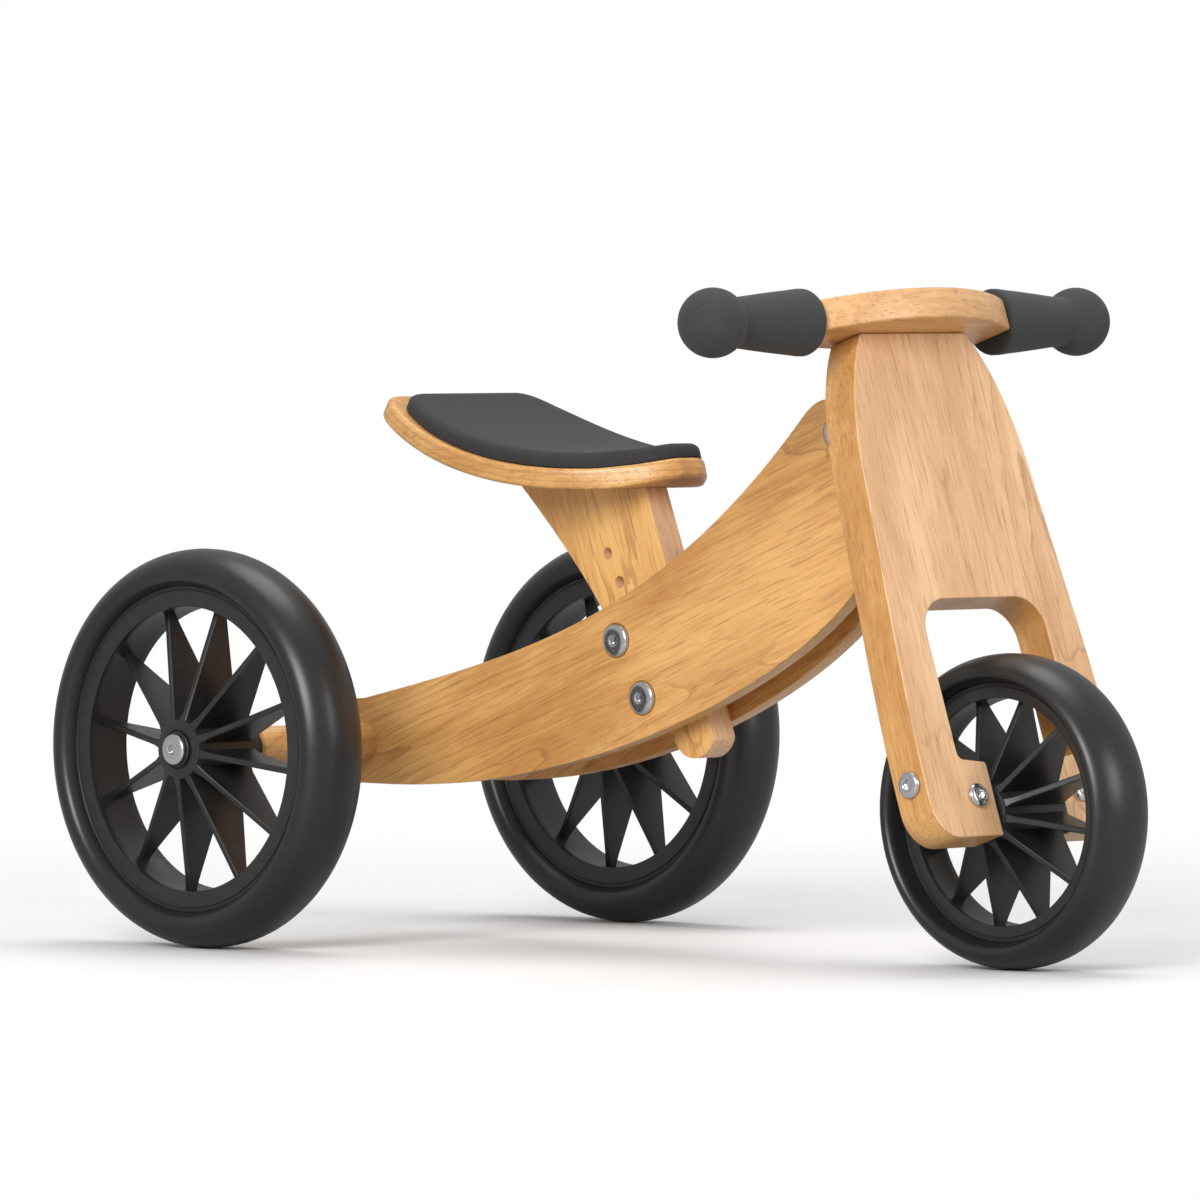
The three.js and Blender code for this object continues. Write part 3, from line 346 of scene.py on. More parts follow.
# %% Wood figure group
def wood_group():
    s, source, sink = group("wood figure", [
        ("Vector", VECTOR, None), ("Depth", VALUE, 0.0), ("Edge", VALUE, 0.0), ("Plies", VALUE, 0.1),
        ("Light", COLOUR, (0.78, 0.44, 0.15, 1)), ("Dark", COLOUR, (0.40, 0.17, 0.045, 1)),
        ("Seed", VALUE, 0.0)],
        [("Color", COLOUR), ("Roughness", VALUE), ("Height", VALUE)])
    shift = s.add("ShaderNodeCombineXYZ", {0: source["Seed"], 1: source["Seed"], 2: source["Seed"]})
    place = s.add("ShaderNodeVectorMath", {0: source["Vector"], 1: shift.outputs[0]}, operation="ADD")
    vector = place.outputs[0]
    knot_cell = s.add("ShaderNodeTexVoronoi", {
        "Vector": s.mapped(vector, (0.45, 1.0, 1.0)), "Scale": 11.0, "Randomness": 1.0})
    distance = knot_cell.outputs["Distance"]
    knot = s.spread(distance, 0.02, 0.42, 1.0, 0.0)
    # The growth rings are the slices of a slow height field: its contour lines make the
    # cathedral arches, and the knots are its hills.
    hills = s.noise(s.mapped(vector, (2.0, 13.0, 13.0)), 1.0, 1.0, 0.4, 0.3)
    wobble = s.noise(s.mapped(vector, (26.0, 95.0, 95.0)), 1.0, 2.0, 0.5)
    field = s.math("ADD", s.math("MULTIPLY", hills, 24.0), s.math("MULTIPLY", knot, 3.0))
    field = s.math("ADD", field, s.math("MULTIPLY", wobble, 0.9))
    ring = s.math("FRACT", field)
    strength = s.spread(s.noise(s.mapped(vector, (4.0, 10.0, 10.0)), 1.0, 2.0), 0.38, 0.55, 0.06, 1.0)
    slow = s.math("MULTIPLY", s.spread(ring, 0.2, 1.0), 0.16)
    thin = s.math("MULTIPLY", s.spread(ring, 0.84, 0.96), 0.58)
    on_edge = s.math("MULTIPLY", source["Edge"], 0.7)
    clear = s.math("MULTIPLY", strength, s.math("SUBTRACT", 1.0, on_edge))
    lined = s.math("MULTIPLY", s.math("MAXIMUM", slow, thin), clear)
    streaks = s.noise(s.mapped(vector, (16.0, 420.0, 420.0)), 1.0, 3.0, 0.6)
    fine = s.noise(s.mapped(vector, (40.0, 1300.0, 1300.0)), 1.0, 2.0, 0.6)
    pores = s.spread(s.noise(s.mapped(vector, (42.0, 850.0, 850.0)), 1.0, 1.0), 0.60, 0.67)
    cloud = s.noise(s.mapped(vector, (8.0, 30.0, 30.0)), 1.0, 3.0)
    tone = s.math("ADD", s.math("MULTIPLY", streaks, 0.26), s.math("MULTIPLY", fine, 0.22))
    tone = s.math("ADD", tone, s.math("MULTIPLY", cloud, 0.70))
    tone = s.spread(tone, 0.44, 0.74, 0.0, 1.0)
    colour = s.mix(tone, source["Dark"], source["Light"])
    colour = s.mix(lined, colour, s.mix(0.5, source["Dark"], (0.16, 0.06, 0.018, 1)))
    colour = s.mix(s.math("MULTIPLY", pores, 0.42), colour, (0.30, 0.12, 0.034, 1))
    heart = s.spread(distance, 0.018, 0.05, 1.0, 0.0)
    colour = s.mix(s.math("MULTIPLY", heart, 0.85), colour, (0.13, 0.045, 0.016, 1))
    plies = s.math("FRACT", s.math("DIVIDE", source["Depth"], 0.0036))
    line = s.math("MULTIPLY", s.spread(plies, 0.60, 0.72), s.spread(plies, 0.88, 1.0, 1.0, 0.0))
    line = s.math("MULTIPLY", s.math("MULTIPLY", line, source["Edge"]), source["Plies"])
    colour = s.mix(line, colour, (0.34, 0.13, 0.035, 1))
    s.tree.links.new(colour, sink["Color"])
    rough = s.math("ADD", s.math("MULTIPLY", streaks, 0.14), s.math("MULTIPLY", pores, 0.14))
    s.tree.links.new(s.math("ADD", rough, 0.30), sink["Roughness"])
    height = s.math("SUBTRACT", s.math("MULTIPLY", streaks, 0.5), s.math("MULTIPLY", pores, 0.6))
    height = s.math("SUBTRACT", height, s.math("MULTIPLY", lined, 0.4))
    s.tree.links.new(s.math("SUBTRACT", height, line), sink["Height"])
    return s.tree


WOOD = wood_group()


def speckle_group():
    """Fine grain of moulded rubber, foam and plastic, with slow changes of tone."""
    s, source, sink = group("fine speckle", [
        ("Scale", VALUE, 900.0), ("Amount", VALUE, 0.3), ("Base", COLOUR, (0.03, 0.03, 0.03, 1)),
        ("Worn", COLOUR, (0.08, 0.08, 0.08, 1))],
        [("Color", COLOUR), ("Dust", VALUE), ("Height", VALUE)])
    vector = s.add("ShaderNodeTexCoord").outputs["Object"]
    grain = s.noise(vector, source["Scale"], 3.0, 0.6)
    cloud = s.noise(vector, 16.0, 4.0, 0.6)
    dust = s.spread(cloud, 0.45, 0.85)
    tone = s.math("MULTIPLY", s.spread(grain, 0.35, 0.75), source["Amount"])
    tone = s.math("ADD", tone, s.math("MULTIPLY", dust, 0.18))
    s.tree.links.new(s.mix(tone, source["Base"], source["Worn"]), sink["Color"])
    s.tree.links.new(dust, sink["Dust"])
    s.tree.links.new(grain, sink["Height"])
    return s.tree


SPECKLE = speckle_group()


def edge_group():
    """A mask of the rubbed convex edges, from how sharply the surface turns."""
    s, source, sink = group("rubbed edges", [("Spread", VALUE, 0.02)], [("Mask", VALUE)])
    point = s.add("ShaderNodeNewGeometry").outputs["Pointiness"]
    high = s.math("ADD", source["Spread"], 0.5)
    mask = s.add("ShaderNodeMapRange", {0: point, 1: 0.505, 2: high, 3: 0.0, 4: 1.0}).outputs[0]
    vector = s.add("ShaderNodeTexCoord").outputs["Object"]
    broken = s.spread(s.noise(vector, 140.0, 3.0), 0.4, 0.7)
    s.tree.links.new(s.math("MULTIPLY", mask, broken), sink["Mask"])
    return s.tree


RUBBED = edge_group()


# %% Materials
def new_material(name):
    material = bpy.data.materials.new(name)
    material.use_nodes = True
    s = Shader(material.node_tree)
    return material, s, material.node_tree.nodes["Principled BSDF"]


def use_group(s, tree, inputs=()):
    node = s.add("ShaderNodeGroup")
    node.node_tree = tree
    for key, value in dict(inputs).items():
        socket = node.inputs[key]
        if isinstance(value, bpy.types.NodeSocket):
            s.tree.links.new(value, socket)
        else:
            socket.default_value = value
    return node.outputs


def bump(s, shader, height, strength, distance):
    node = s.add("ShaderNodeBump", {"Height": height, "Strength": strength, "Distance": distance})
    s.tree.links.new(node.outputs[0], shader.inputs["Normal"])


GOLD = ((0.78, 0.43, 0.145, 1), (0.52, 0.24, 0.064, 1))
# The pinkish pair is the veneer with a painted reflection of the front light, for faces turned to the
# front; the tan pair holds half of that painted reflection.
PAINTED_SHEEN_PINK = ((0.83, 0.53, 0.30, 1), (0.65, 0.36, 0.175, 1))
HALF_PAINTED_SHEEN_TAN = ((0.80, 0.47, 0.22, 1), (0.58, 0.29, 0.11, 1))
# The brightest gold pair is painted light that lifts the post's faces out of the seat's shadow.
PAINTED_LIGHT_GOLD = ((0.92, 0.54, 0.18, 1), (0.66, 0.33, 0.095, 1))


def wood(name, grain, face, seed, tint=GOLD, rim=GOLD, bend=None, plies=0.06):
    """Varnished veneer. grain and face are the directions of the grain and of the board's face,
    tint colours the face and rim the sawn edges, each a light and a dark tone that for some boards
    also holds painted light; bend is the centre that a bent board's plies are wrapped round."""
    material, s, shader = new_material(name)
    coords = s.add("ShaderNodeTexCoord").outputs
    grain = Vector(grain).normalized()
    face = Vector(face).normalized()
    side = face.cross(grain)

    def along(direction, vector):
        node = s.add("ShaderNodeVectorMath", {0: vector, 1: direction}, operation="DOT_PRODUCT")
        return node.outputs["Value"]

    across_face = along(face, coords["Object"])
    if bend:
        flat = s.add("ShaderNodeVectorMath", {0: coords["Object"], 1: Vector((1, 0, 1))},
                     operation="MULTIPLY").outputs[0]
        depth = s.add("ShaderNodeVectorMath", {0: flat, 1: bend}, operation="DISTANCE")
        depth = depth.outputs["Value"]
    else:
        depth = across_face
    facing = s.math("ABSOLUTE", along(face, coords["Normal"]))
    edge = s.spread(facing, 0.35, 0.7, 1.0, 0.0)
    vector = s.add("ShaderNodeCombineXYZ", {
        0: along(grain, coords["Object"]), 1: along(side, coords["Object"]), 2: across_face})
    out = use_group(s, WOOD, {
        "Vector": vector.outputs[0], "Depth": depth, "Edge": edge,
        "Light": s.mix(edge, tint[0], rim[0]), "Dark": s.mix(edge, tint[1], rim[1]),
        "Seed": seed, "Plies": plies})
    worn = use_group(s, RUBBED, {"Spread": 0.06})
    pale = s.mix(s.math("MULTIPLY", worn["Mask"], 0.25), out["Color"], (0.90, 0.60, 0.28, 1))
    s.tree.links.new(pale, shader.inputs["Base Color"])
    s.tree.links.new(out["Roughness"], shader.inputs["Roughness"])
    shader.inputs["Coat Weight"].default_value = 0.22
    shader.inputs["Coat Roughness"].default_value = 0.28
    bump(s, shader, out["Height"], 0.22, 0.0004)
    return material


def moulded(name, base, worn, roughness, scale=900.0, amount=0.3, strength=0.12, dusty=0.08,
            sheen=0.0):
    """Rubber, foam or plastic with a fine moulded grain."""
    material, s, shader = new_material(name)
    out = use_group(s, SPECKLE, {"Scale": scale, "Amount": amount, "Base": base, "Worn": worn})
    rub = use_group(s, RUBBED, {"Spread": 0.05})
    colour = s.mix(s.math("MULTIPLY", rub["Mask"], 0.35), out["Color"], worn)
    s.tree.links.new(colour, shader.inputs["Base Color"])
    rough = s.math("ADD", s.math("MULTIPLY", out["Dust"], dusty), roughness)
    s.tree.links.new(rough, shader.inputs["Roughness"])
    shader.inputs["Sheen Weight"].default_value = sheen
    bump(s, shader, out["Height"], strength, 0.0003)
    return material


def steel(name, roughness):
    """Plated steel: a fine speckle and small scuffs."""
    material, s, shader = new_material(name)
    out = use_group(s, SPECKLE, {
        "Scale": 1600.0, "Amount": 0.35, "Base": (0.62, 0.62, 0.63, 1),
        "Worn": (0.42, 0.41, 0.40, 1)})
    s.tree.links.new(out["Color"], shader.inputs["Base Color"])
    s.tree.links.new(s.math("ADD", s.math("MULTIPLY", out["Dust"], 0.12), roughness),
                     shader.inputs["Roughness"])
    shader.inputs["Metallic"].default_value = 1.0
    bump(s, shader, out["Height"], 0.05, 0.0002)
    return material


BEAM_RIGHT_FACE = (BEAM_SPLAY, -1, 0)
BEAM_LEFT_FACE = (BEAM_SPLAY, 1, 0)
PANEL_FACE = (math.cos(RAKE), 0, math.sin(RAKE))
PANEL_UP = (-math.sin(RAKE), 0, math.cos(RAKE))
wood_beam_right = wood("wood beam right", (0.9, 0, 0.38), BEAM_RIGHT_FACE, 0.13)
wood_beam_left = wood("wood beam left", (0.9, 0, 0.38), BEAM_LEFT_FACE, 2.7)
# Painted front reflection: on the panel's face and the post's sawn edges, and half of it on the
# handlebar's sawn edges.
wood_panel = wood("wood panel", PANEL_UP, PANEL_FACE, 5.31, tint=PAINTED_SHEEN_PINK)
wood_bar = wood("wood handlebar", (0, 1, 0), PANEL_UP, 7.9, rim=HALF_PAINTED_SHEEN_TAN)
# Painted light on the post's faces, against the seat's shadow.
wood_post = wood("wood post", (-0.35, 0, 0.94), (0, 1, 0), 3.3, tint=PAINTED_LIGHT_GOLD, rim=PAINTED_SHEEN_PINK)
wood_round = wood("wood axle bar", (0, 1, 0), (1, 0, 0), 9.7)
rubber_tyre = moulded("tyre rubber", (0.0110, 0.0110, 0.0113, 1), (0.030, 0.030, 0.031, 1), 0.34,
                      700.0, 0.25, 0.10, 0.10)
plastic_wheel = moulded("wheel plastic", (0.0115, 0.0115, 0.0118, 1), (0.032, 0.032, 0.033, 1), 0.38,
                        1100.0, 0.3, 0.10)
plastic_bush = moulded("bearing plastic", (0.012, 0.012, 0.012, 1), (0.05, 0.05, 0.05, 1), 0.45)
foam_grip = moulded("grip foam rubber", (0.026, 0.026, 0.027, 1), (0.060, 0.060, 0.061, 1), 0.80,
                    1500.0, 0.55, 0.30, 0.10, 0.05)
foam_pad = moulded("seat foam", (0.021, 0.020, 0.022, 1), (0.044, 0.042, 0.045, 1), 0.80,
                   1500.0, 0.5, 0.22, 0.10, 0.03)
plated = steel("plated steel", 0.22)
brushed = steel("zinc plated steel", 0.36)

# %% [markdown]
# ## Fitting a piece into the trike
# Every finished piece takes its material, rides on a CAD body and stands for its CAD node.

# %% Fit a piece
def fit(piece, body, node, material):
    piece.data.materials.clear()
    piece.data.materials.append(material)
    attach(piece, body)
    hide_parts(node)
    return piece


# %% [markdown]
# ## Side beams
# Each beam is one 10 mm board. It sweeps up in a long curve from the rear axle to the steering
# head and leans in towards its twin. The bolt heads sit in flat spots cut square to the axle.

# %% Beams
PANEL_FRONT = 12.7
PANEL_THICK = 21
PANEL_REAR = PANEL_FRONT - PANEL_THICK
PIN_X = PANEL_REAR - 11
BEAM_FRONT = PIN_X - 7


def trike_point(local):
    """A point of the fork's frame as (x, z) in the trike, in millimetres."""
    p = in_fork(local[0], 0, local[1])
    return (p.x - REAR_AXLE.x) / MM, p.z / MM


HEAD_X = trike_point((BEAM_FRONT, 174))[0]


def beam_outline():
    axle = REAR_AXLE.z / MM
    top = trike_point((BEAM_FRONT, 224))
    foot = trike_point((BEAM_FRONT, 152))
    o = Outline(0, axle + 22.5)
    o.cubic(0.33 * HEAD_X, 150, 0.60 * HEAD_X, 172, 0.87 * HEAD_X, 273, 40)
    o.quad(0.912 * HEAD_X, 288.5, top[0] + 2, top[1] - 5)
    o.line(*foot)
    o.quad(foot[0] + 2, foot[1] - 3, HEAD_X, 199)
    o.cubic(0.885 * HEAD_X, 140, 0.45 * HEAD_X, 80.5, 0.06 * HEAD_X, 80.5, 40)
    o.line(0, axle - 21.5)
    o.arc(-2, axle + 0.5, 22, -90, -270, 20)
    return o


HOLE_SLOPE = math.radians(59.5)
HOLE_PITCH = 16.8
HOLE_TOP = (143.4, 201.6)
HOLE_COUNT = 6
holes = [(HOLE_TOP[0] + n * HOLE_PITCH * math.cos(HOLE_SLOPE),
          HOLE_TOP[1] - n * HOLE_PITCH * math.sin(HOLE_SLOPE)) for n in range(HOLE_COUNT)]
post_bolts = [holes[3], holes[5]]
head_bolts = [trike_point((PIN_X - 17.8, s)) for s in (164, 209.6)]
SPOT_DEPTH = 0.9


def bolt_seat(x):
    return splayed(x, 0) - SPOT_DEPTH


for name, side, material in (("right", -1, wood_beam_right), ("left", 1, wood_beam_left)):
    place = lambda u, v, w, side=side: in_trike(u, side * splayed(u, w), v)
    beam = board(f"wood_beam_{name}", beam_outline(), place, 0, BEAM_THICK)
    spots = []
    for x, z in post_bolts + head_bolts:
        disc = circle(x, z, 9.0, 40)
        spots.append(board("spot", disc, lambda u, v, w, side=side: in_trike(u, side * w, v),
                           bolt_seat(x), bolt_seat(x) + 9))
    cut(beam, spots)
    rounded(beam, 1.7)
    fit(beam, "frame", f"beam_{name}", material)
print("beams", [round(v / MM, 1) for v in beam.dimensions])

# %% [markdown]
# ## Connector bolts and sleeve nuts
# The heads are low domes 17 mm across with a six-sided socket. Bolts go in from the right;
# a sleeve nut with the same head closes each joint on the left.

# %% Bolt heads
def domed_head(name, radius, height, socket, place, shank=None, shank_length=0):
    """A bolt head seen from its top, with a hexagonal socket; along grows out of the seat."""
    depth = height * 0.62
    profile = []
    if shank:
        profile += [(0, -shank_length), (shank - 0.5, -shank_length), (shank, 0.5 - shank_length),
                    (shank, 0)]
    else:
        profile += [(0, 0)]
    profile += [
        (radius - 0.3, 0), (radius, 0.25), (radius, height * 0.42), (radius * 0.975, height * 0.62),
        (radius * 0.90, height * 0.80), (radius * 0.76, height * 0.94), (radius * 0.60, height),
        (socket + 0.55, height), (socket + 0.25, height - 0.12)]
    hexes = [len(profile), len(profile) + 1]
    profile += [(socket, height - 0.35), (socket, height - depth), (0, height - depth - 0.25)]
    piece = turned(name, profile, place, 48, hexes)
    piece.data.shade_smooth()
    piece.data.set_sharp_from_angle(angle=math.radians(38))
    return piece


def connector(name, x, z):
    seat = bolt_seat(x) + 0.3
    bolt = domed_head(f"{name}_bolt_domed", 8.5, 2.8, 2.5,
                      lambda u, v, w: in_trike(x + u, -seat - w, z + v), 3, 2 * seat - 6)
    fit(bolt, "frame", f"{name}_bolt", plated)
    nut = domed_head(f"{name}_nut_domed", 8.5, 2.8, 2.5,
                     lambda u, v, w: in_trike(x + u, seat + w, z + v), 4, 14)
    fit(nut, "frame", f"{name}_nut", plated)


connector("post_upper", *post_bolts[0])
connector("post_lower", *post_bolts[1])
connector("head_lower", *head_bolts[0])
connector("head_upper", *head_bolts[1])

# %% [markdown]
# ## Seat post
# A 16 mm board between the beams. Its row of six holes sets the seat's height: two of them
# hold the connector bolts, and the four above and between stay open.

# %% Post
SEAT_R = 259
NOSE_R = 120
SEAT_LOW_X = 155
SEAT_LOW_Z = 245.5
SEAT_THICK = 10.6
POST_HALF = 8
POST_FRONT, POST_BACK, TOP_STEPS = 170, 66, 18
HOLE_R = 3.1


def under_seat(x):
    bend = SEAT_R if x < SEAT_LOW_X else NOSE_R
    below = bend + SEAT_THICK + 0.1
    return SEAT_LOW_Z + bend - math.sqrt(below**2 - (x - SEAT_LOW_X) ** 2)


post_outline = Outline(POST_BACK, under_seat(POST_BACK)).quad(118, 203, 141, 171, 24).line(190.5, 109.5)
post_outline.arc(204, 113, 14.5, 207, 345.6, 20).line(170.2, 235)
for i in range(TOP_STEPS + 1):
    x = POST_FRONT - (POST_FRONT - POST_BACK) * i / TOP_STEPS
    post_outline.line(x, under_seat(x))
post = board("wood_seat_post", post_outline, lambda u, v, w: in_trike(u, w, v),
             -POST_HALF, POST_HALF)
cut(post, [board("hole", circle(x, z, HOLE_R, 28), lambda u, v, w: in_trike(u, w, v), -12, 12)
           for x, z in holes])
rounded(post, 1.0, 3)
fit(post, "frame", "seat_post", wood_post)

# %% [markdown]
# ## Seat board and pad
# The seat is moulded plywood, bent so that the back sweeps up and the nose lifts a little. Its
# plan is broad behind and narrow at the nose. A foam pad with a bevelled rim is glued on top.

# %% Seat
def seat_plan(inset, rear, nose):
    """Right half of the seat's plan as (x, half width), from the rear to the nose."""
    def w(half):
        return half - inset

    def n(half):
        return half - inset * 0.4

    corner = rear + 14
    o = Outline(rear, w(38)).quad(rear, w(50), corner, w(54), 12)
    o.cubic(70, w(64.5), 116, w(61), 140, w(51), 26)
    o.cubic(156, w(44), 164, n(37.5), 173, n(31), 14)
    o.cubic(nose - 12, n(23.5), nose, n(14.5), nose, 5, 16)
    return o.clean()


def seat_point(x, y, drop):
    """A point of the bent seat, drop below its top face, measured square to the face."""
    bend = SEAT_R if x < SEAT_LOW_X else NOSE_R
    angle = math.asin((x - SEAT_LOW_X) / bend)
    r = bend + drop
    return in_trike(SEAT_LOW_X + r * math.sin(angle), y, SEAT_LOW_Z + bend - r * math.cos(angle))


def bent_sheet(name, rings):
    """A bent board or pad from stacked plans: each ring is (inset, rear, nose, drop)."""
    bm = bmesh.new()
    rows = 14
    layers = []
    for inset, rear, nose, drop in rings:
        plan = seat_plan(inset, rear, nose)
        outline = [(x, -y) for x, y in plan] + [(x, y) for x, y in reversed(plan)]
        layers.append([bm.verts.new(seat_point(x, y, drop)) for x, y in outline])
    for low, high in zip(layers, layers[1:]):
        n = len(low)
        for i in range(n):
            j = (i + 1) % n
            bm.faces.new((low[i], low[j], high[j], high[i]))
    for (inset, rear, nose, drop), ring in ((rings[0], layers[0]), (rings[-1], layers[-1])):
        plan = seat_plan(inset, rear, nose)
        half = len(plan)
        grid = []
        for i, (x, y) in enumerate(plan):
            row = [ring[i]]
            for k in range(1, rows):
                row.append(bm.verts.new(seat_point(x, -y + 2 * y * k / rows, drop)))
            row.append(ring[2 * half - 1 - i])
            grid.append(row)
        for a, b in zip(grid, grid[1:]):
            for k in range(rows):
                bm.faces.new((a[k], a[k + 1], b[k + 1], b[k]))
    return from_bmesh(name, bm)


def lipped(inset, rear, nose, top, bottom, radius, steps=5):
    """Rings of a slab whose edges are rounded by radius, from the under side to the top."""
    rings = []
    for i in range(steps + 1):
        a = math.pi / 2 * i / steps
        cut_in = radius * (1 - math.sin(a))
        rings.append((inset + cut_in, rear + cut_in, nose - cut_in,
                      bottom - radius * (1 - math.cos(a))))
    for i in range(steps + 1):
        a = math.pi / 2 * i / steps
        cut_in = radius * (1 - math.cos(a))
        rings.append((inset + cut_in, rear + cut_in, nose - cut_in,
                      top + radius * (1 - math.sin(a))))
    return rings


SEAT_REAR, SEAT_NOSE = 22, 193
seat = bent_sheet("wood_seat_board", lipped(0, SEAT_REAR, SEAT_NOSE, 0, SEAT_THICK, 2.2))
seat.data.shade_smooth()
seat.data.set_sharp_from_angle(angle=math.radians(60))
seat_centre = in_trike(SEAT_LOW_X, 0, SEAT_LOW_Z + SEAT_R)
wood_seat = wood("wood seat", (1, 0, -0.1), (0, 0, 1), 11.2, bend=seat_centre, plies=0.30)
fit(seat, "frame", "seat_board", wood_seat)

PAD_REAR, PAD_NOSE = SEAT_REAR + 9, SEAT_NOSE - 0.5
pad_rings = [(3.2 + inset, PAD_REAR + inset, PAD_NOSE - inset, -drop) for inset, drop in (
    (0.4, 0.3), (0, 0.8), (0, 4.8), (0.25, 5.9), (0.9, 6.9), (1.9, 7.7), (3.2, 8.15), (5.0, 8.3))]
pad = bent_sheet("foam_seat_pad", pad_rings)
pad.data.shade_smooth()
fit(pad, "frame", "seat_pad", foam_pad)
print("seat", [round(v / MM, 1) for v in seat.dimensions])
print("pad", [round(v / MM, 1) for v in pad.dimensions])

# %% [markdown]
# ## Steering panel
# One thick board does the work of a fork: shoulders at the top, a slot for the front wheel and
# two lugs at the foot that hold the axle.

# %% Panel
def panel_outline():
    right = Outline(38.8, 245.5).cubic(52, 228, 60, 200, 62, 170, 18)
    right.cubic(64.5, 132, 72, 75, 73, 14, 22).line(73, 3)
    right.arc(55, 3, 18, 0, -90, 14).line(25.3, -15).line(25.3, 21).quad(25.3, 23, 27.5, 23, 6)
    right.line(40.6, 24.5).quad(44.6, 25, 44.6, 29, 6).line(44.6, 89)
    right.arc(26.6, 89, 18, 0, 90, 14)
    points = right.clean()
    return points + [(-y, z) for y, z in reversed(points)]


panel = board("wood_steering_panel", panel_outline(),
              lambda u, v, w: in_fork(w, u, v), PANEL_REAR, PANEL_FRONT)
LOCK_Y, LOCK_Z = 38.3, 5.7
LEG_X, LEG_Z = 3, 15.3
cutters = []
for side in (-1, 1):
    cutters.append(board("recess", circle(side * LOCK_Y, LOCK_Z, 3.3, 24),
                         lambda u, v, w: in_fork(w, u, v), PANEL_FRONT - 15.3, PANEL_FRONT + 2))
cut(panel, cutters)
rounded(panel, 2.4)
fit(panel, "steering", "steering_panel", wood_panel)

for side, name in ((-1, "right"), (1, "left")):
    lock = domed_head(f"axle_lock_screw_{name}_domed", 6.0, 2.8, 2.5,
                      lambda u, v, w, side=side: in_fork(
                          PANEL_FRONT + 0.3 + w, side * LOCK_Y + u, LOCK_Z + v),
                      3, 15)
    fit(lock, "steering", f"axle_lock_screw_{name}", plated)
    leg = domed_head(f"leg_bolt_{name}_domed", 6.6, 2.6, 2.5,
                     lambda u, v, w, side=side: in_fork(
                         LEG_X + u, side * (73.3 + w), LEG_Z + v), 3, 34)
    fit(leg, "steering", f"leg_bolt_{name}", plated)

# %% [markdown]
# ## Handlebar and grips
# The bar is a bow-shaped board screwed onto the panel's top. The foam grips cover the ends, so
# the tenons inside them are not drawn here. Each grip narrows outwards
# and ends in a safety ball.

# %% Handlebar
BAR_LOW = 245.8
BAR_HIGH = BAR_LOW + 16
BAR_HALF = 69
GRIP_X = PANEL_FRONT - 8.1
GRIP_Z = (BAR_LOW + BAR_HIGH) / 2


def bow(front, front_end, steps=30):
    """A shallow arc between the bar's ends, as (x, y) points from right to left."""
    sag = front - front_end
    radius = (BAR_HALF**2 + sag**2) / (2 * sag)
    centre = front - radius
    half = math.asin(BAR_HALF / abs(radius))
    points = []
    for i in range(steps + 1):
        a = -half + 2 * half * i / steps
        points.append((PANEL_FRONT + centre + radius * math.cos(a), abs(radius) * math.sin(a)))
    return points


bar_front = bow(24, 4)
bar_back = [(2 * PANEL_FRONT - x, y) for x, y in bow(28.5, 21)]
bar = board("wood_handlebar", bar_front + list(reversed(bar_back)),
            lambda u, v, w: in_fork(u, v, w), BAR_LOW, BAR_HIGH)
screw_x = PANEL_REAR + PANEL_THICK / 2
cut(bar, [board("counterbore", circle(screw_x, y, 4.6, 28),
                lambda u, v, w: in_fork(u, v, w), BAR_HIGH - 3, BAR_HIGH + 3) for y in (-20, 20)])
rounded(bar, 2.6)
fit(bar, "steering", "handlebar", wood_bar)

GRIP_Y, BALL_R = 134.5, 17.4
for side, name in ((-1, "right"), (1, "left")):
    sleeve = [(7.8, 69.3), (15.2, 69.3), (16.3, 69.8), (16.8, 71.0), (16.75, 74)]
    taper = [(16.4 - 3.6 * t**1.15, 76 + 40 * t) for t in (i / 10 for i in range(1, 11))]
    ball = []
    start = math.radians(133)
    for i in range(25):
        a = start * (1 - i / 24)
        ball.append((BALL_R * math.sin(a), GRIP_Y + BALL_R * math.cos(a)))
    neck = smooth_curve([taper[-1], (12.6, 118.6), (12.5, 120.6), ball[0]], 4)
    profile = sleeve + taper[:-1] + neck[:-1] + ball[:-1] + [(0, GRIP_Y + BALL_R), (0, GRIP_Y)]
    profile += [(7.8, GRIP_Y)]
    grip = turned(f"foam_grip_{name}", profile,
                  lambda u, v, w, side=side: in_fork(GRIP_X + u, side * w, GRIP_Z + v), 64)
    grip.data.shade_smooth()
    grip.data.set_sharp_from_angle(angle=math.radians(50))
    fit(grip, "steering", f"grip_{name}", foam_grip)

# %% [markdown]
# ## Wheels
# Rim, hub and twelve thin triangular fins are one moulding: the fins are as long as the hub at
# the root and narrow to the rim's middle. The tyre is a fat ring of foam rubber that bulges
# past the rim on both sides.

# %% Wheel tools
REAR = {"tyre": REAR_AXLE.z / MM, "half": 20.2, "flange": 83.5, "inner": 72.7, "rim": 13.5,
        "hub": 15.5, "hub_half": 20}
FRONT = {"tyre": FRONT_AXLE.z / MM, "half": 19.8, "flange": 64.5, "inner": 56.4, "rim": 10.2,
         "hub": 15.5, "hub_half": 23.2}
FIN_COUNT = 12
FIN_PHASE = 21.4


def tyre_profile(wheel):
    wall = wheel["tyre"] - wheel["flange"]
    rim, half = wheel["rim"], wheel["half"]
    side = [(-0.02, rim - 1.2), (-0.01, rim + 0.2), (0.05, rim + (half - rim) * 0.42),
            (0.16, rim + (half - rim) * 0.82), (0.34, half), (0.55, half * 0.94),
            (0.75, half * 0.77), (0.90, half * 0.52), (0.975, half * 0.27), (1.0, 0)]
    curve = smooth_curve([(wheel["flange"] + wall * t, y) for t, y in side], 4)
    bed = wheel["flange"] - 4.9
    inner = [(bed, 0), (bed, rim - 3.7), (wheel["flange"] + 0.2, rim - 3.5)]
    return inner + curve[:-1] + [(r, -y) for r, y in reversed(curve)] + [
        (r, -y) for r, y in reversed(inner[1:])]


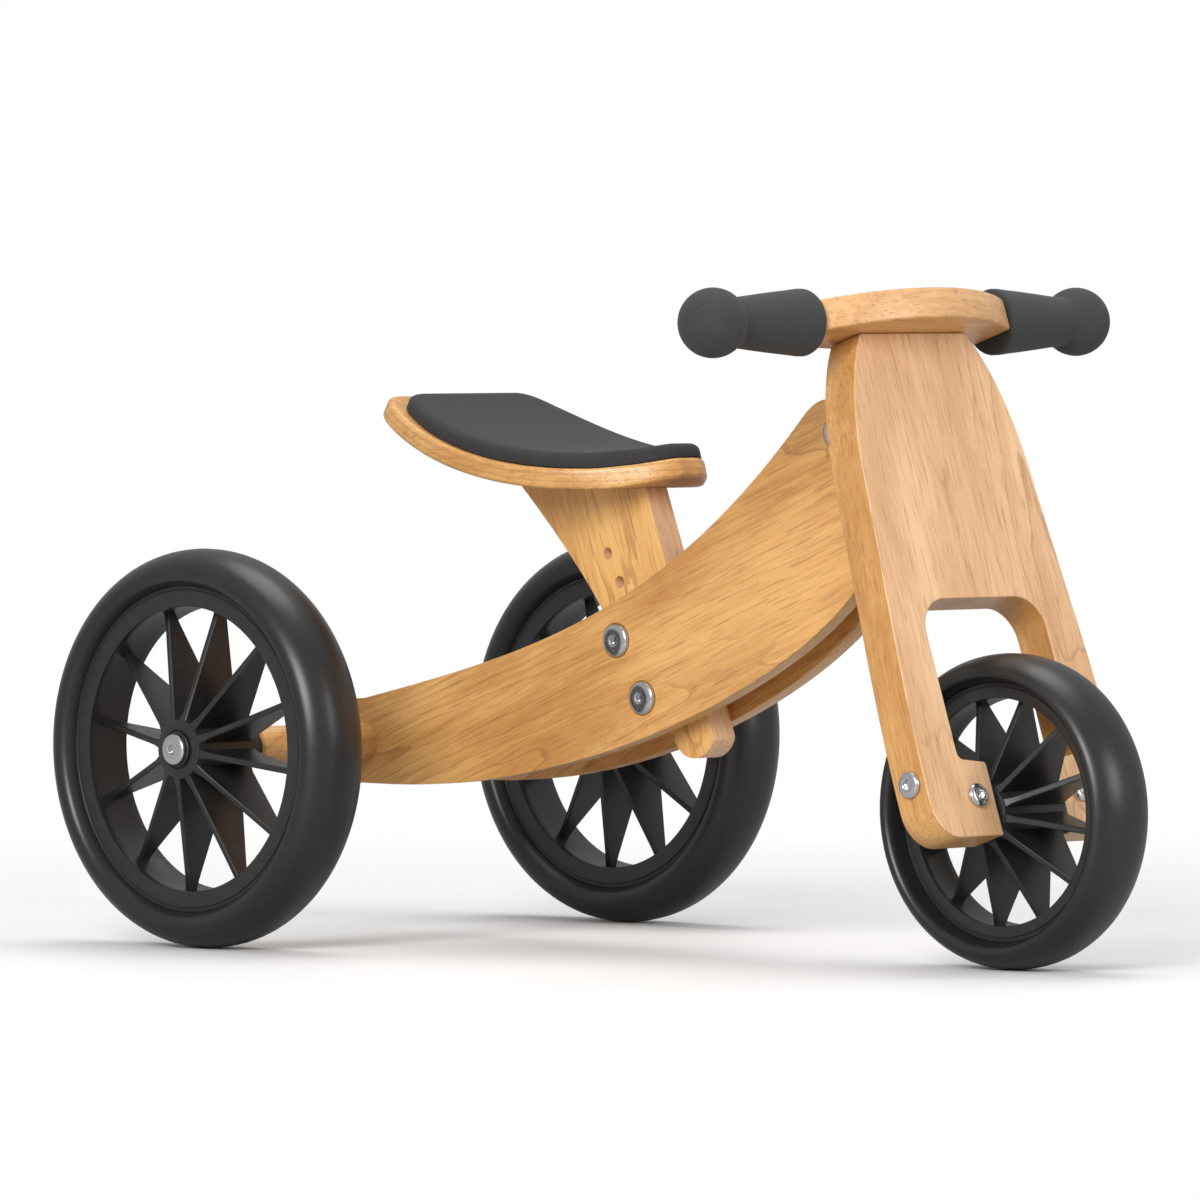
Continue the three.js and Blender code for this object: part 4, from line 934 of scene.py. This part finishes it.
def rim_profile(wheel):
    inner, flange, half = wheel["inner"], wheel["flange"], wheel["rim"]
    bed = flange - 5.2
    side = [(inner + 0.9, 0), (inner + 0.5, half * 0.6), (inner, half - 0.9), (inner + 0.3, half - 0.25),
            (inner + 1.1, half), (flange - 2.6, half), (flange - 2.2, half - 0.5),
            (flange - 1.7, half - 0.5), (flange - 1.3, half), (flange - 0.5, half),
            (flange, half - 0.5), (flange, half - 3.4), (bed, half - 3.4)]
    return side + [(r, -y) for r, y in reversed(side[1:])]


def hub_profile(wheel):
    half, radius = wheel["hub_half"], wheel["hub"]
    side = [(4.5, half - 0.5), (9.6, half - 0.5), (10.2, half), (radius - 1.6, half),
            (radius - 0.5, half - 0.5), (radius, half - 1.6), (radius + 0.3, 0)]
    return side + [(r, -y) for r, y in reversed(side[:-1])]


def add_fin(bm, wheel, angle, place):
    """One triangular fin: thin at the rim, a little thicker where it meets the hub."""
    root, tip = wheel["hub"] - 1.5, wheel["inner"] + 2.0
    c, s = math.cos(angle), math.sin(angle)
    stations = 9
    rings = []
    for i in range(stations + 1):
        t = i / stations
        r = root + (tip - root) * t
        half = wheel["hub_half"] - 1.2 + (2.1 - wheel["hub_half"] + 1.2) * t
        if t < 0.12:
            half += 0.8 * (1 - t / 0.12)
        thick = 1.55 + 0.9 * max(0, 1 - t * 7) ** 2 + 0.5 * max(0, t * 8 - 7)
        ring = []
        for a, b in ((-thick, -half + 0.5), (-thick + 0.5, -half), (thick - 0.5, -half),
                     (thick, -half + 0.5), (thick, half - 0.5), (thick - 0.5, half),
                     (-thick + 0.5, half), (-thick, half - 0.5)):
            ring.append(bm.verts.new(place(r * c - a * s, r * s + a * c, b)))
        rings.append(ring)
    for low, high in zip(rings, rings[1:]):
        for k in range(8):
            j = (k + 1) % 8
            bm.faces.new((low[k], low[j], high[j], high[k]))
    bm.faces.new(rings[0])
    bm.faces.new(list(reversed(rings[-1])))


def join(name, parts):
    """Several meshes as one piece, for a moulding made of simple forms."""
    bm = bmesh.new()
    for part in parts:
        bm.from_mesh(part.data)
        bpy.data.objects.remove(part)
    return from_bmesh(name, bm)


def build_wheel(label, wheel, body, centre):
    def place(u, v, w):
        return centre + Vector((u, w, v)) * MM
    tyre = turned(f"rubber_{label}_tyre", tyre_profile(wheel), place, 128)
    tyre.data.shade_smooth()
    tyre.data.set_sharp_from_angle(angle=math.radians(50))
    fit(tyre, body, f"{label}_tyre", rubber_tyre)
    rim = turned("rim", rim_profile(wheel), place, 128)
    hub = turned("hub", hub_profile(wheel), place, 64)
    bm = bmesh.new()
    for i in range(FIN_COUNT):
        add_fin(bm, wheel, math.radians(FIN_PHASE + 360 / FIN_COUNT * i), place)
    fins = from_bmesh("fins", bm)
    core = join(f"moulded_{label}_wheel", [rim, hub, fins])
    core.data.shade_smooth()
    core.data.set_sharp_from_angle(angle=math.radians(34))
    fit(core, body, f"{label}_wheel_core", plastic_wheel)
    for side, name in ((-1, "right"), (1, "left")):
        mouth = wheel["hub_half"] + 0.3
        profile = [(4.6, mouth - 12), (6.5, mouth - 12), (6.5, mouth), (8.8, mouth), (9.0, mouth + 0.3),
                   (9.0, mouth + 0.9), (8.7, mouth + 1.2), (5.0, mouth + 1.2), (4.6, mouth + 0.8)]
        bush = turned(f"{label}_bush_{name}_flanged", profile,
                      lambda u, v, w, side=side: place(u, v, side * w), 40)
        bush.data.shade_smooth()
        bush.data.set_sharp_from_angle(angle=math.radians(38))
        fit(bush, body, f"{label}_bush_{name}", plastic_bush)


build_wheel("rear_right", REAR, "rear_wheel_right", REAR_AXLE - Vector((0, HALF_TRACK * MM, 0)))
build_wheel("rear_left", REAR, "rear_wheel_left", REAR_AXLE + Vector((0, HALF_TRACK * MM, 0)))
build_wheel("front", FRONT, "front_wheel", FRONT_AXLE)

# %% [markdown]
# ## Rear axle
# A round wooden bar passes through both beams and carries the steel axle. Short spacers keep
# the wheels off the bar's ends, and domed caps close the hubs.

# %% Axle bar, spacers and caps
AXLE_Z = REAR_AXLE.z / MM
BAR_END = 122
bar_profile = [(4.3, -BAR_END), (8.6, -BAR_END), (9.6, 0.4 - BAR_END), (10, 1.5 - BAR_END),
               (10, BAR_END - 1.5), (9.6, BAR_END - 0.4), (8.6, BAR_END), (4.3, BAR_END)]
axle_bar = turned("wood_rear_axle_bar", bar_profile, across(0, AXLE_Z), 48)
axle_bar.data.shade_smooth()
axle_bar.data.set_sharp_from_angle(angle=math.radians(40))
fit(axle_bar, "frame", "rear_axle_bar", wood_round)
SPACER_END = HALF_TRACK - REAR["hub_half"] - 2.1
CAP_SEAT = HALF_TRACK + REAR["hub_half"] + 2.1
for side, name in ((-1, "right"), (1, "left")):
    place = lambda u, v, w, side=side: in_trike(u, side * w, AXLE_Z + v)
    spacer = turned(f"rear_axle_spacer_{name}_round", [
        (4.3, BAR_END + 0.3), (7.6, BAR_END + 0.3), (8, BAR_END + 0.7), (8, SPACER_END - 0.4),
        (7.6, SPACER_END), (4.3, SPACER_END)], place, 40)
    spacer.data.shade_smooth()
    spacer.data.set_sharp_from_angle(angle=math.radians(38))
    fit(spacer, "frame", f"rear_axle_spacer_{name}", plastic_bush)
    cap = domed_head(f"rear_axle_cap_{name}_domed", 8.0, 2.6, 2.5,
                     lambda u, v, w, side=side: in_trike(u, side * (CAP_SEAT + w), AXLE_Z + v))
    fit(cap, "frame", f"rear_axle_cap_{name}", plated)

# %% [markdown]
# ## Pieces kept from the CAD frame
# The steering head, the brackets and the screws are right as they are. The head, the packing
# plates, the brackets, the pin and the axles get a small bevel, because no real edge is perfectly
# sharp, and every kept piece gets its own finish.

# %% Kept nodes
def keep(node, material, bevel=0.0):
    piece = frame["nodes"][node]
    piece.data.materials.clear()
    piece.data.materials.append(material)
    if bevel:
        modifier = piece.modifiers.new("edge", "BEVEL")
        modifier.width = bevel * MM
        modifier.segments = 2
        modifier.limit_method = "ANGLE"
        modifier.angle_limit = math.radians(50)


for node in ("head_block", "packing_plate_right", "packing_plate_left"):
    # The head block and packing plates share the post's wood, so they carry its painted light and
    # painted reflection too.
    keep(node, wood_post, 0.6)
for node in ("head_bush_lower", "head_bush_upper"):
    keep(node, plastic_bush)
for node in ("rear_axle_rod", "front_axle", "steering_pin", "steering_bracket_upper",
             "steering_bracket_lower"):
    keep(node, brushed, 0.3)
for node in ("seat_screw_1", "seat_screw_2", "handlebar_screw_left", "handlebar_screw_right",
             "bracket_screw_1", "bracket_screw_2", "bracket_screw_3", "bracket_screw_4"):
    keep(node, plated)

# %% [markdown]
# ## Studio
# A paper-white floor fades out into a white sky about a metre from the trike. The key light is
# a large soft disc in front of its right side, a weaker one fills from the front, and a third
# hangs overhead. Floor and sky are darker to bounced light than to the camera, which keeps the
# undersides deep and leaves soft shadows under the wheels.

# %% Floor, light and camera
FLOOR_REACH = 60
FADE_START, FADE_END = 0.55, 1.25  # metres from the middle of the floor
BOUNCE_TONE = (0.50, 0.50, 0.50, 1)
SKY_TONE = (0.52, 0.52, 0.52, 1)
floor_mesh = bpy.data.meshes.new("floor")
corners = [(x * FLOOR_REACH, y * FLOOR_REACH, 0) for x, y in ((-1, -1), (1, -1), (1, 1), (-1, 1))]
floor_mesh.from_pydata(corners, [], [(0, 1, 2, 3)])
floor = new_object("floor", floor_mesh)
floor_material, s, shader = new_material("studio floor")
spot = s.add("ShaderNodeTexCoord").outputs["Object"]
paper = s.mix(s.noise(spot, 1.5, 2.0), (0.90, 0.90, 0.90, 1), (0.93, 0.93, 0.93, 1))
looked_at = s.add("ShaderNodeLightPath").outputs["Is Camera Ray"]
s.tree.links.new(s.mix(looked_at, BOUNCE_TONE, paper), shader.inputs["Base Color"])
shader.inputs["Roughness"].default_value = 0.55
far = s.add("ShaderNodeVectorMath", {0: spot}, operation="LENGTH").outputs["Value"]
s.tree.links.new(s.spread(far, FADE_START, FADE_END, 1.0, 0.0), shader.inputs["Alpha"])
floor.data.materials.append(floor_material)


def soft_light(name, location, target, size, power, colour=(1, 1, 1)):
    light = bpy.data.lights.new(name, "AREA")
    light.shape = "DISK"
    light.size = size
    light.energy = power
    light.color = colour
    lamp = bpy.data.objects.new(name, light)
    scene.collection.objects.link(lamp)
    lamp.location = location
    direction = Vector(target) - Vector(location)
    lamp.rotation_euler = direction.to_track_quat("-Z", "Y").to_euler()


soft_light("key", (1.5, -3.1, 1.6), (0, 0, 0.15), 1.7, 104)
soft_light("front fill", (3.4, 1.0, 1.3), (0.1, 0, 0.15), 1.5, 32)
soft_light("top", (-0.4, 0.6, 3.2), (0, 0, 0.1), 2.2, 40)

world = bpy.data.worlds.new("studio")
scene.world = world
world.use_nodes = True
s = Shader(world.node_tree)
background = world.node_tree.nodes["Background"]
seen = s.add("ShaderNodeLightPath").outputs["Is Camera Ray"]
s.tree.links.new(s.mix(seen, SKY_TONE, (1, 1, 1, 1)), background.inputs["Color"])
background.inputs["Strength"].default_value = 1.0

camera_data = bpy.data.cameras.new("camera")
camera_data.lens = 315.8
camera_data.sensor_width = 36
camera_data.clip_end = 200
camera = bpy.data.objects.new("camera", camera_data)
scene.collection.objects.link(camera)
camera.location = (3.68165, -3.8883, 0.3341)
camera.rotation_euler = (math.radians(88.337), 0, math.radians(43.935))
scene.camera = camera
scene.view_settings.view_transform = "Standard"
